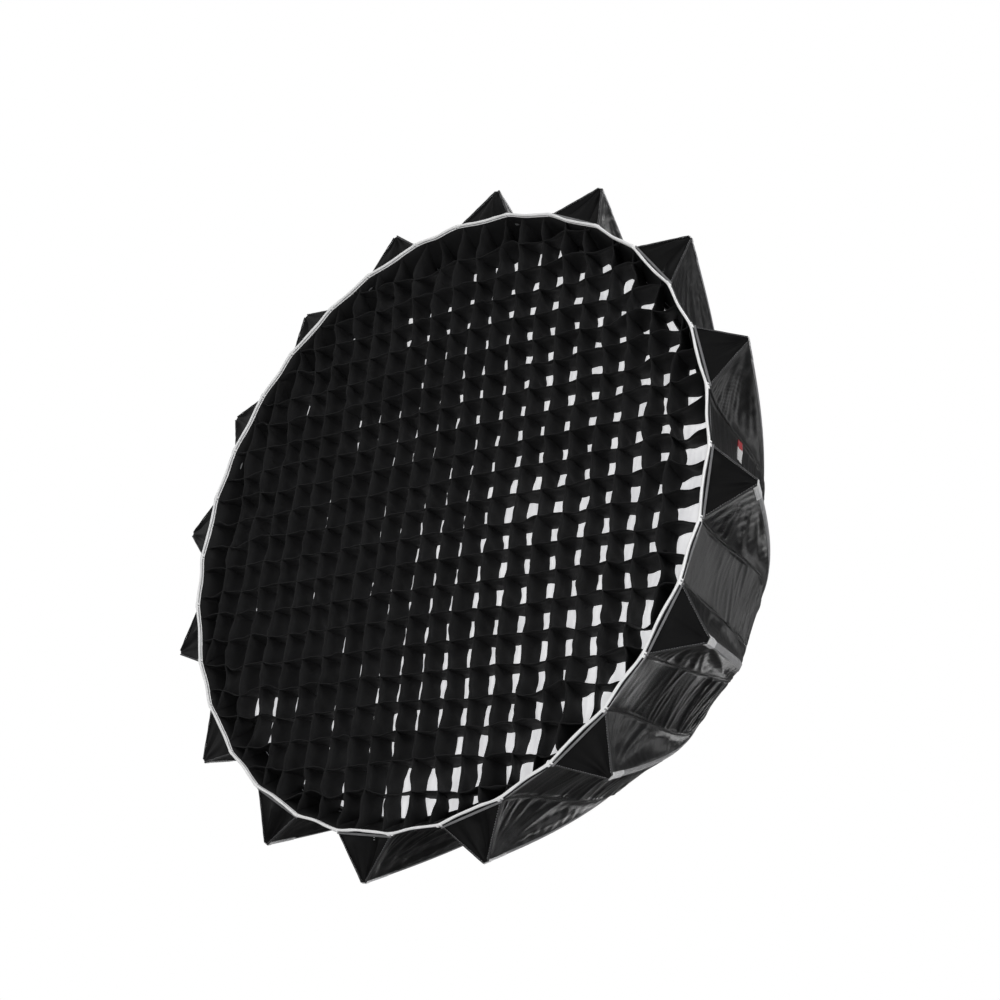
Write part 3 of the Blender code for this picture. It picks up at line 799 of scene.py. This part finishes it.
def sew_seams(heap, number, start, end):
    """Two rows of stitches on each felled seam and one on the strip beside it."""
    along = np.arange(start, end + 0.002, 0.004)
    for side in (-1, 1):
        for inset in (0.0016, 0.0040):
            points, normals = flank_line(along, inset, number, side)
            sew(heap, points + normals * THREAD_LIFT, normals, number, 3)
        points, normals = strip_line(along, 0.0030, number, side)
        sew(heap, points + normals * THREAD_LIFT, normals, number, 3)


def one_side(piece):
    """Area of one face of a closed layer of cloth."""
    return sum(face.area for face in piece.data.polygons) / 2


def declare_length(cover, across, along):
    """Width and length of one length of the cover: as wide as the cloth is there, its facet and hems
    included, the length stretched when its area needs it; the figures are not used.
    """
    width, length = round(2 * float(across.max()), 4), round(float(along[-1] - along[0]), 4)
    area = one_side(cover)
    if area > 0.97 * width * length:
        length = round(area / width / 0.97, 4)


def make_skin(number):
    """The sewn cover over one rod: black outside with a matt front facet, silver inside."""
    t = row_shares()
    left, left_across, shares = half_panel(t, number, -1)
    right, right_across, _ = half_panel(t, number, 1)
    points = np.concatenate([left[:, :0:-1], right], 1)
    across = np.concatenate([left_across[:, :0:-1], right_across], 1)
    cuff = cuff_rows(points[-1])
    along = np.concatenate([at(TABLE_ALONG, t), PANEL_LENGTH + np.arange(1, len(cuff) + 1) * 0.002])
    points = np.concatenate([points, cuff])
    across = np.concatenate([across, np.repeat(across[-1:], len(cuff), 0)])
    uv = np.stack([across, np.broadcast_to(along[:, None], across.shape)], -1)
    normals = surface_normals(points)
    points, normals = to_row(points, number), vector_to_row(normals, number)
    zones = zone_ends(t)
    for k, (first, last, keep) in enumerate(zones):
        heap = Heap()
        stop = len(points) if k == len(zones) - 1 else last + 1
        heap.shell(points[first:stop], normals[first:stop], uv[first:stop], 0, 2)
        if k == 0:
            front, below = facet_points(shares, number)
            front_uv = np.stack([front[..., 0], np.broadcast_to(-0.01 - below, front.shape[:2])], -1)
            front_normals = surface_normals(front)
            heap.shell(to_row(front, number), vector_to_row(front_normals, number), front_uv, 1, 2)
        sew_seams(heap, number, max(0.004, along[first]), min(PANEL_LENGTH - 0.004, along[last]))
        name = f"skin_{number:02d}_{k + 1:02d}"
        cover = heap.object(name, "nylon", "facet", "silver", "thread_black", sharp=50.0)
        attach(cover, rib_body(number))
        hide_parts(f"panel_{number:02d}")
        squash_cover(cover)
        declare_length(cover, across[first:stop], along[first:stop])


# ---------------------------------------------------------------- trim: tapes, bindings and stitches


def mirrored(points, normals, side):
    flip = np.array([side, 1, 1])
    return points * flip, normals * flip


def flank_line(along, inset, number, side):
    """A line on a flank at a distance from its seam, with its normals."""
    t = share_at(along)
    width = size_of(at(TABLE_SEAM, t) - at(TABLE_RIDGE, t))
    return mirrored(*flank(t, np.clip(1 - inset / width, 0, 1), number, side), side)


def strip_line(along, inset, number, side):
    """The same on a strip."""
    t = share_at(along)
    width = size_of(at(TABLE_EDGE, t) - at(TABLE_SEAM, t))
    return mirrored(*strip(t, np.clip(inset / width, 0, 1), number, side), side)


def strip_patch(rows, insets, number, side):
    """Points and normals over part of a strip, rows back from its front and insets in from its seam."""
    lines = [strip_line(np.full(len(insets), along), insets, number, side) for along in rows]
    points, normals = (np.array(part)[:, ::side] for part in zip(*lines))
    return points, normals


def ridge_lines(along, drop, keep=(1.0, 1.0)):
    """Rows over the ridge, from drop metres down one flank to drop metres down the other, times keep."""
    t, drop = share_at(along), np.broadcast_to(drop, along.shape)
    ridge, seam = at(TABLE_RIDGE, t), at(TABLE_SEAM, t)
    down = unit(seam - ridge)
    normal, flank_n = at(TABLE_RIDGE_N, t), at(TABLE_FLANK_N, t)
    columns, normals = [], []
    for side, steps in ((-1, (1.0, 0.5, 0.0)), (1, (0.0, 0.5, 1.0))):
        flip = np.array([side, 1, 1])
        for step in steps:
            columns.append((ridge + down * (drop * step * keep[side > 0])[:, None]) * flip)
            share = 0.45 + 0.55 * step
            normals.append(unit(normal * (1 - share) + flank_n * flip * share))
    return np.stack(columns, 1), np.stack(normals, 1)


# How far a tip's pocket patch comes down its two flanks, where it was sewn on turned
PATCH_KEEP = {2: (1.3, 0.2), 3: (1.3, 0.2), 4: (1.3, 0.2), 7: (0.6, 1.2), 8: (0.35, 1.2), 9: (0.35, 1.2)}


def make_ridge_tape(number):
    """The grey tape over a rod, with the pale pocket patch and white end stripe at the tip."""
    heap = Heap()
    keep = PATCH_KEEP.get(number, (1.0, 1.0))

    def lay(start, end, drop, slot, thickness, step=0.012):
        along = np.linspace(start, end, max(3, int((end - start) / step)))
        drops = drop(along) if callable(drop) else drop
        lines, normals = ridge_lines(along, drops, keep if slot else (1.0, 1.0))
        tape_over(heap, lines, normals, number, slot, thickness)

    lay(0.052, PANEL_LENGTH - 0.004, lambda a: 0.0042 - 0.0012 * smooth(0.5, 1.0, a), 0, 0.0009)
    lay(0.003, 0.064, 0.0082, 1, 0.0017, 0.004)
    lay(0.0005, 0.0085, 0.0086, 2, 0.0026, 0.002)
    along = np.arange(0.066, PANEL_LENGTH - 0.01, 0.006)
    lines, normals = ridge_lines(along, 0.0024)
    for column in (0, -1):
        sew(heap, lines[:, column] + normals[:, column] * 0.0010, normals[:, column], number, 3)
    for drop in (0.0018, 0.0066):
        along = np.arange(0.011, 0.062, 0.003)
        lines, normals = ridge_lines(along, drop, keep)
        for column in (0, -1):
            line = lines[:, column] + normals[:, column] * 0.0018
            sew(heap, line, normals[:, column], number, 3, 0.0028, 0.0013)
    tape = heap.object(f"ridge_tape_{number:02d}", "tape", "patch", "stripe", "thread_grey")
    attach(tape, rib_body(number))


def make_seams(number):
    """What is sewn on a cover's front: facet bindings, hem tapes and their stitches."""
    heap = Heap()
    ahead = np.array([0.0, -1.0, 0.0])
    for side in (-1, 1):
        # Binding on the facet's slanted edge, a little uneven as sewn
        ridge, seam = TABLE_RIDGE[0] * [side, 1, 1], TABLE_SEAM[0] * [side, 1, 1]
        share = np.linspace(0, 1, 26)
        line = seam + (ridge - seam) * share[:, None]
        wobble = 0.0004 * soft_noise(line, 0.02, 60 + number + side)
        line = line + np.array([side * 0.0006, -0.0008, 0.0004]) + np.array([0, 1, 0]) * wobble[:, None]
        outward = np.tile(unit(np.array([side * 0.75, -0.6, 0.35])), (len(line), 1))
        outward = vector_to_row(outward, number)
        heap.tube(to_row(line, number), 0.0017, 1, 8, squeeze=(1.0, 0.72), out=outward)
        edge = line + np.array([-side * 0.0006, -0.0014, 0]) - np.array([side * 0.0009, 0, 0.0004])
        sew(heap, edge, np.tile(ahead, (len(edge), 1)), number, 2, 0.0030, 0.0018, 0.00038)
        # Hem tape along the strip's front edge
        rows = np.linspace(0.0005, 0.0135, 6)
        width = size_of(TABLE_EDGE[0] - TABLE_SEAM[0])
        insets = np.linspace(0.0022, width, 14)
        lines, norms = strip_patch(rows, insets, number, side)
        tape_over(heap, lines, norms, number, 3, 0.0010)
        for row in (1, -2):
            sew(heap, lines[row] + norms[row] * 0.0011, norms[row], number, 2, 0.0030, 0.0018)
    # Narrow hem at the facet's foot
    base = TABLE_SEAM[0]
    x = np.linspace(-base[0], base[0], 20)
    foot = np.stack([x, np.full(20, base[1] - 0.0012), np.full(20, base[2] + 0.003)], -1)
    lines = np.stack([foot, foot + np.array([0, 0.0008, 0.004])], 1)
    tape_over(heap, lines, np.tile(ahead, (20, 2, 1)), number, 3, 0.0008)
    seams = heap.object(f"seams_{number:02d}", "thread_black", "binding", "thread_grey", "hem")
    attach(seams, rib_body(number))
    squash_cover(seams)


def make_label():
    """A small blank woven tab beside a seam, with a red head."""
    heap = Heap()
    along = np.linspace(0.221, 0.247, 7)
    for inset, slot in ((np.linspace(0.0045, 0.0190, 6), 0), (np.linspace(0.0190, 0.0460, 9), 1)):
        tape_over(heap, *strip_patch(along, inset, 4, 1), 4, slot, 0.0011)
    for a in (along[0] + 0.0015, along[-1] - 0.0015):
        inset = np.linspace(0.0050, 0.0450, 20)
        points, normals = strip_line(np.full(len(inset), a), inset, 4, 1)
        sew(heap, points + normals * 0.0012, normals, 4, 2, 0.0024, 0.0012)
    tab = heap.object("blank_tab", "label_red", "label_white", "thread_grey")
    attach(tab, rib_body(4))
    squash_cover(tab)


for number in range(1, RODS + 1):
    make_skin(number)
    make_ridge_tape(number)
    make_seams(number)
make_label()

# ---------------------------------------------------------------- light grid


def polar(points):
    return np.arctan2(points[..., 0], points[..., 2]) % (2 * pi), np.hypot(points[..., 0], points[..., 2])


def share_back(depth):
    """0 at the grid's front, 1 at its back."""
    return (depth - GRID_FRONT) / (GRID_BACK - GRID_FRONT)


def flat_radius(angle):
    """How far out a straight side over one wedge is, as a share of the circle's radius."""
    phase = (angle / WEDGE_STEP) % 1.0 - 0.5
    return cos(WEDGE_STEP / 2) / np.cos(phase * WEDGE_STEP)


def rim_radius(angle, depth):
    """Inside radius of the grid's slanted wall, drawn in on each wedge."""
    radius = RIM_FRONT_R + (GRID_BACK_R - RIM_FRONT_R) * np.clip(share_back(depth), 0, 1)
    return radius * flat_radius(angle) - 0.0012


def grid_to_row(p, q, depth):
    x = p * cos(GRID_TURN) - q * sin(GRID_TURN)
    z = p * sin(GRID_TURN) + q * cos(GRID_TURN)
    return np.stack([x, depth - FRONT_TO_SEAT, z], -1)


def grid_drift(p, q, depth):
    """How far the slack lattice has moved from its true place, for the slats of both directions."""
    share = share_back(depth)
    spot = np.stack([p, q], -1)
    rim = smooth(0.40, 0.64, np.hypot(p, q))
    loose = 0.0022 + 0.0050 * rim
    both = []
    for seed in (11, 23):
        slow = 0.0045 * soft_noise(spot, 0.60, seed)
        front = loose * soft_noise(spot, 0.13, seed + 1, 9)
        back = loose * 0.8 * soft_noise(spot, 0.15, seed + 2, 9)
        both.append(slow + front * (1 - share) + back * share)
    for centre_p, centre_q, push in SWOLLEN:
        gap = np.stack([p - centre_p, q - centre_q], -1) / SWOLLEN_SPREAD
        push = push * np.exp(-0.5 * (gap**2).sum(-1))
        both[0] = both[0] - 1.5 * push * share + 0.6 * push * gap[..., 0] * (1 - share)
        both[1] = both[1] + 0.6 * push * gap[..., 1]
    return both


def slat_points(index, upright, run, depth):
    """Points of one slat: run is the distance along it, depth the distance back."""
    fixed = (index + (GRID_PHASE[0] if upright else GRID_PHASE[1])) * GRID_PITCH
    p, q = (fixed + 0 * run, run) if upright else (run, fixed + 0 * run)
    dp, dq = grid_drift(p, q, depth)
    # Between two crossings a slat bows sideways and its free front edge a little more
    phase = run / GRID_PITCH - (GRID_PHASE[1] if upright else GRID_PHASE[0])
    cell = np.floor(phase)
    seed = np.sin(cell * 12.9898 + index * 78.233 + (37.7 if upright else 0.0)) * 43758.5453
    lean = (seed - np.floor(seed)) * 2 - 1
    share = share_back(depth)
    rim = smooth(0.45, 0.62, np.hypot(p, q))
    bow = lean * np.sin(pi * (phase - cell)) * (0.0022 + 0.0040 * rim) * (1.15 - 0.7 * share)
    crease = 0.0011 * soft_noise(np.stack([run, depth + index * 0.37], -1), 0.034, 71 + upright, 6)
    crease = crease + 0.0005 * soft_noise(np.stack([run, depth + index * 0.53], -1), 0.017, 81 + upright, 6)
    if upright:
        p, q = p + dp + bow + crease, q + dq
    else:
        p, q = p + dp, q + dq + bow + crease
    return grid_to_row(p, q, depth)


SLAT_DEPTHS = np.array([0.0, 0.0010, 0.0070, 0.0078, 0.0165, 0.0275, 0.0385, 0.0480, 0.0560])
SLAT_HALF = np.array([0.0006, 0.0012, 0.0012, 0.0008, 0.0007, 0.0007, 0.0007, 0.0008, 0.0008])


def rim_reach(index, upright, sign):
    """Distance along a slat at which its front and its back meet the rim's wall."""
    reach = np.full(len(SLAT_DEPTHS), 0.66)
    for _ in range(14):
        points = slat_points(index, upright, sign * reach, GRID_FRONT + SLAT_DEPTHS)
        angle, radius = polar(points)
        reach = reach - (radius - rim_radius(angle, GRID_FRONT + SLAT_DEPTHS)) * 0.85
        if np.any(reach < 0.02):
            return None
    return reach


def wedge_of(points):
    angle, _ = polar(points)
    return (angle / WEDGE_STEP).astype(int) % WEDGES


def slat_solid(index, upright):
    """Both faces of one slat, with a hemmed front edge, as arrays (columns, ring, 3)."""
    low, high = rim_reach(index, upright, -1), rim_reach(index, upright, 1)
    if low is None or high is None:
        return None
    count = max(6, int((low[0] + high[0]) / 0.0056))
    share = np.linspace(0, 1, count)[:, None]
    run = -low[None] + (low + high)[None] * share
    depth = np.broadcast_to(GRID_FRONT + SLAT_DEPTHS, run.shape)
    # Slats hang back almost to the diffuser, except at their ends, where the hems are
    away = np.hypot(run, index * GRID_PITCH)
    back = SLAT_DEPTHS / SLAT_DEPTHS[-1]
    depth = depth + (0.0012 if upright else 0.0056) * back * (1 - smooth(0.54, 0.60, away))
    depth = depth - 0.0045 * (1 - back) * smooth(0.50, 0.64, away)
    middle = slat_points(index, upright, run, depth)
    turn = GRID_TURN if upright else GRID_TURN + pi / 2
    across = np.array([cos(turn), 0, sin(turn)])
    half = SLAT_HALF[None, :, None] * across
    return np.concatenate([middle + half, (middle - half)[:, ::-1]], 1)


def add_slats(heaps):
    for upright in (True, False):
        for index in range(-SLATS, SLATS + 1):
            rings = slat_solid(index, upright)
            if rings is None:
                continue
            owner = wedge_of((rings[1:] + rings[:-1]).mean(1) / 2)
            start = 0
            for k in range(1, len(owner) + 1):
                if k == len(owner) or owner[k] != owner[start]:
                    heaps[owner[start]].loft(rings[start : k + 1], 0)
                    start = k


def rim_line(wedge):
    """Angles over one wedge, the opening's radius there, and the distance to the nearest corner."""
    seam = TABLE_SEAM[0]
    corner, radius = np.arctan2(seam[0], seam[2]), hypot(seam[0], seam[2])
    low, high = wedge * WEDGE_STEP, (wedge + 1) * WEDGE_STEP
    turns = [rod * ROD_STEP + side * corner for rod in range(RODS + 1) for side in (-1, 1)]
    inside = [turn for turn in turns if low + 1e-4 < turn < high - 1e-4]
    angle = np.array(sorted(list(np.linspace(low, high, 10)) + inside))
    off = np.abs((angle / ROD_STEP + 0.5) % 1.0 - 0.5) * ROD_STEP
    facet = radius * np.cos(corner) / np.cos(off)
    between = radius * np.cos(HALF_STEP - corner) / np.cos(HALF_STEP - off)
    return angle, np.where(off < corner, facet, between), np.abs(off - corner) * radius


def add_rim(heap, wedge):
    """The flat black border and slanted wall of one wedge, and its piece of the white piping."""
    angle, radius, gap = rim_line(wedge)
    spot = on_circle(angle)
    ripple = soft_noise(spot, 0.10, 401, 8)
    out = radius - RIM_OUT_R
    section = [
        (0.6636 + out, -0.0028),
        (0.6622 + out, -0.0012 + 0.0005 * ripple),
        (0.6606 + out, 0.0004 + 0.0008 * ripple),
        (0.6588 + out + 0.0005 * ripple, 0.0024 + 0.0008 * ripple),
        (0.6515 + out * 0.9 + 0.0018 * ripple, 0.0190),
        (0.6415 + out * 0.8 - 0.0018 * ripple, 0.0370),
        (0.6305 + out * 0.7, 0.0570),
    ]
    top = np.stack([around(r, d, angle) for r, d in section], 1)
    centre = np.array([0, 0.3 - FRONT_TO_SEAT, 0])
    away = unit(top - centre)
    under = top + away * 0.0010
    heap.loft(np.concatenate([top, under[:, ::-1]], 1), 0)
    # Piping: a cord in the fold of a white tape that stands up from the rim, lapped at each corner
    kink = np.exp(-((gap / 0.006) ** 2))
    line_r = radius + 0.0006 - 0.0026 * smooth(0.004, 0.060, gap) + 0.0004 * ripple
    sway = 0.0004 * np.sin(angle * 57.0)

    def ring(out_r, depth):
        return around(line_r + out_r, depth + sway, angle)

    size = 0.0025 * (1 + 0.10 * soft_noise(spot, 0.05, 402, 6)) * (1 + 0.2 * kink)
    heap.tube(ring(0.0002, -0.0078), size, 1, 10)
    heap.tube(ring(0.0, -0.0022), 0.0060, 1, 10, squeeze=(0.24, 1.0))
    heap.tube(ring(0.0024, -0.0024), 0.0026, 0, 8, squeeze=(0.28, 1.0))
    heap.tube(ring(-0.0016, -0.0026), 0.0013, 1, 8)
    for side in (-1, 1):
        heap.tube(ring(side * 0.0013, -0.0050), 0.0012, 2, 6)
        outward = around(side, FRONT_TO_SEAT, angle)
        heap.stitches(ring(side * 0.00145, -0.0018), outward, 2, 0.0032, 0.0016, 0.0004)
    for k in np.flatnonzero(gap < 1e-5):
        turn = angle[k] + np.linspace(-0.0085, 0.0085, 5)
        lap = around(line_r[k] + 0.0003, -0.0052, turn)
        heap.tube(lap, 0.0058, 1, 10, squeeze=(0.56, 1.0))
        heap.tube(lap[1:3] + (0, 0.0004, 0), 0.0060, 2, 10, squeeze=(0.58, 1.0))


def squash_wedge(piece):
    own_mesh(piece)


def make_grid():
    heaps = [Heap() for _ in range(WEDGES)]
    add_slats(heaps)
    for wedge, heap in enumerate(heaps):
        add_rim(heap, wedge)
        piece = heap.object(f"grid_{wedge + 1:02d}", "grid", "piping", "thread_grey")
        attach(piece, "grid")
        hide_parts("light_grid", "grid_piping")
        squash_wedge(piece)


# ---------------------------------------------------------------- diffuser


def diffuser_points(radius, angle):
    """The stretched white cloth: slack ripples, small gathers at its hem."""
    spot = radius[..., None] * on_circle(angle)
    sag = 0.0016 * soft_noise(spot, 0.09, 211, 8) + 0.003 * soft_noise(spot, 0.4, 212, 6)
    pull = 0.0016 * np.sin(angle * 96) * smooth(0.5, 0.62, radius)
    depth = DIFFUSER_DEPTH + 0.0035 + (sag + pull) * smooth(DIFFUSER_R, DIFFUSER_R - 0.05, radius)
    return around(radius, depth, angle)


def make_diffuser():
    rings, columns = 44, 5
    for wedge in range(WEDGES):
        angle = np.linspace(wedge, wedge + 1, columns)[None, ::-1] * WEDGE_STEP + np.zeros((rings, 1))
        radius = np.linspace(0.0006, DIFFUSER_R, rings)[:, None] + 0 * angle
        points = diffuser_points(radius, angle)
        out = diffuser_points(radius + 0.001, angle) - points
        round_it = diffuser_points(radius, angle - 0.001) - points
        normals = unit(np.cross(round_it, out))
        cloth_heap = Heap()
        cloth_heap.shell(points, normals, points[..., [0, 2]], 0, 0, 0.0006)
        cloth_piece = cloth_heap.object(f"diffuser_{wedge + 1:02d}", "diffuser", sharp=None)
        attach(cloth_piece, "diffuser")
        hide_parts("front_diffuser")
        heap = Heap()
        turn = np.linspace(wedge, wedge + 1, 7) * WEDGE_STEP
        edge = flat_radius(turn)
        wave = 0.0008 * soft_noise(on_circle(turn), 0.06, 215)
        low, high = HEM_RADII
        front, back = HEM_DEPTHS
        ring = [(low - 0.004, front + 0.0045), (low, front - 0.0045), (high, front - 0.004)]
        ring += [(high, back), (low + 0.002, back), (low - 0.004, front + 0.0065)]
        rows = [around(r * edge + wave, d + wave, turn) for r, d in ring]
        heap.loft(np.stack(rows, 1), 0)
        hem = heap.object(f"diffuser_hem_{wedge + 1:02d}", "grid_edge")
        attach(hem, "diffuser")
        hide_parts("diffuser_hem")
        squash_wedge(cloth_piece)
        squash_wedge(hem)


make_grid()
make_diffuser()

# ---------------------------------------------------------------- materials of the CAD pieces


CAD_LOOKS = (
    ("rod_", "rod"),
    ("hub_", "hub"),
    ("bayonet_insert", "bayonet"),
    ("retaining_nut", "bayonet"),
    ("hinge_wire", "wire"),
    ("cap_screw", "screw"),
    ("lock_knob", "rubber"),
    ("release_button", "red"),
)
for prefix, look in CAD_LOOKS:
    for name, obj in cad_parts.items():
        if name.startswith(prefix):
            obj.data.materials.clear()
            obj.data.materials.append(MAT[look])

# ---------------------------------------------------------------- stage, light and camera


def make_floor():
    mesh = bpy.data.meshes.new("floor")
    square = ((-1, -1), (1, -1), (1, 1), (-1, 1))
    mesh.from_pydata([(x * FLOOR_HALF, y * FLOOR_HALF, FLOOR_Z) for x, y in square], [], [(0, 1, 2, 3)])
    n = Nodes("pale_floor", (0.86, 0.86, 0.86), 0.7)
    n.colour(n.ramp(n.noise(1.2, 4.0, 0.5), [(0.3, (0.84, 0.84, 0.84)), (0.7, (0.88, 0.88, 0.88))]))
    mesh.materials.append(n.material)
    floor = shown("floor", mesh)
    floor.visible_glossy = False  # the covers face it, and would mirror it


def make_world():
    """White surround for the camera, and a studio that is dim behind the object and brighter in front."""
    world = bpy.data.worlds.new("studio")
    bpy.context.scene.world = world
    world.use_nodes = True
    tree = world.node_tree
    tree.nodes.clear()
    node = tree.nodes.new
    coordinates, dot = node("ShaderNodeTexCoord"), node("ShaderNodeVectorMath")
    dot.operation = "DOT_PRODUCT"
    dot.inputs[1].default_value = Vector((0.15, 0.85, -0.45)).normalized()
    tree.links.new(coordinates.outputs["Generated"], dot.inputs[0])
    spread = node("ShaderNodeMapRange")
    spread.interpolation_type = "SMOOTHSTEP"
    for name, value in (("From Min", -0.5), ("From Max", 0.5), ("To Min", 0.42), ("To Max", 0.06)):
        spread.inputs[name].default_value = value
    tree.links.new(dot.outputs["Value"], spread.inputs["Value"])
    lit, seen, mix = node("ShaderNodeBackground"), node("ShaderNodeBackground"), node("ShaderNodeMixShader")
    tree.links.new(spread.outputs[0], lit.inputs["Strength"])
    is_camera = node("ShaderNodeLightPath").outputs["Is Camera Ray"]
    for k, source in enumerate((is_camera, lit.outputs[0], seen.outputs[0])):
        tree.links.new(source, mix.inputs[k])
    for background in (lit, seen):
        background.inputs["Color"].default_value = (1, 1, 1, 1)
    tree.links.new(mix.outputs[0], node("ShaderNodeOutputWorld").inputs["Surface"])


LIGHTS = (  # name, place, where it points, diameter, power and spread in degrees
    ("rim_right", (3.2, 1.6, 0.7), (0.3, -0.6, 0), 0.9, 12, 180),
    ("front_right", (2.9, -2.7, 0.9), (0, -0.9, 0), 1.2, 10, 180),
    ("rim_top", (0.6, 1.0, 2.8), (0, -0.6, 0), 1.0, 26, 180),
    ("rim_low", (-0.5, 3.4, -0.85), (0.2, -0.5, -0.4), 0.8, 0.5, 50),
    ("rim_back", (1.4, 3.4, 0.5), (0.4, -0.5, 0), 1.4, 0.5, 50),
    ("side_right", (4.5, -2.2, 0.4), (0, -0.9, 0), 1.6, 10, 70),
    ("fill_left", (-3.2, -2.2, 0.8), (0, -0.7, 0), 1.6, 12, 180),
    ("rise_front", (0.6, -3.4, -0.9), (0, -0.9, 0), 0.7, 1.0, 60),
)


def area_light(name, place, aim, size, power, spread):
    light = bpy.data.lights.new(name, "AREA")
    light.shape, light.size, light.energy, light.spread = "DISK", size, power, radians(spread)
    obj = shown(name, light)
    obj.location = place
    obj.rotation_mode = "QUATERNION"
    obj.rotation_quaternion = (Vector(aim) - Vector(place)).to_track_quat("-Z", "Y")


def make_camera():
    camera = bpy.data.cameras.new("camera")
    camera.lens = 58.43
    camera.sensor_width = 36.0
    camera.clip_start, camera.clip_end = 0.05, 100
    obj = shown("camera", camera)
    right, up = Vector((0.777, 0.607, 0.168)).normalized(), Vector((0.074, -0.352, 0.933))
    back = right.cross(up).normalized()
    up = back.cross(right)
    turned = Matrix((right, up, back)).transposed().to_4x4()
    obj.matrix_world = Matrix.Translation(CAMERA_PLACE) @ turned
    bpy.context.scene.camera = obj


make_floor()
make_world()
for light in LIGHTS:
    area_light(*light)
make_camera()
bpy.context.scene.view_settings.view_transform = "Standard"
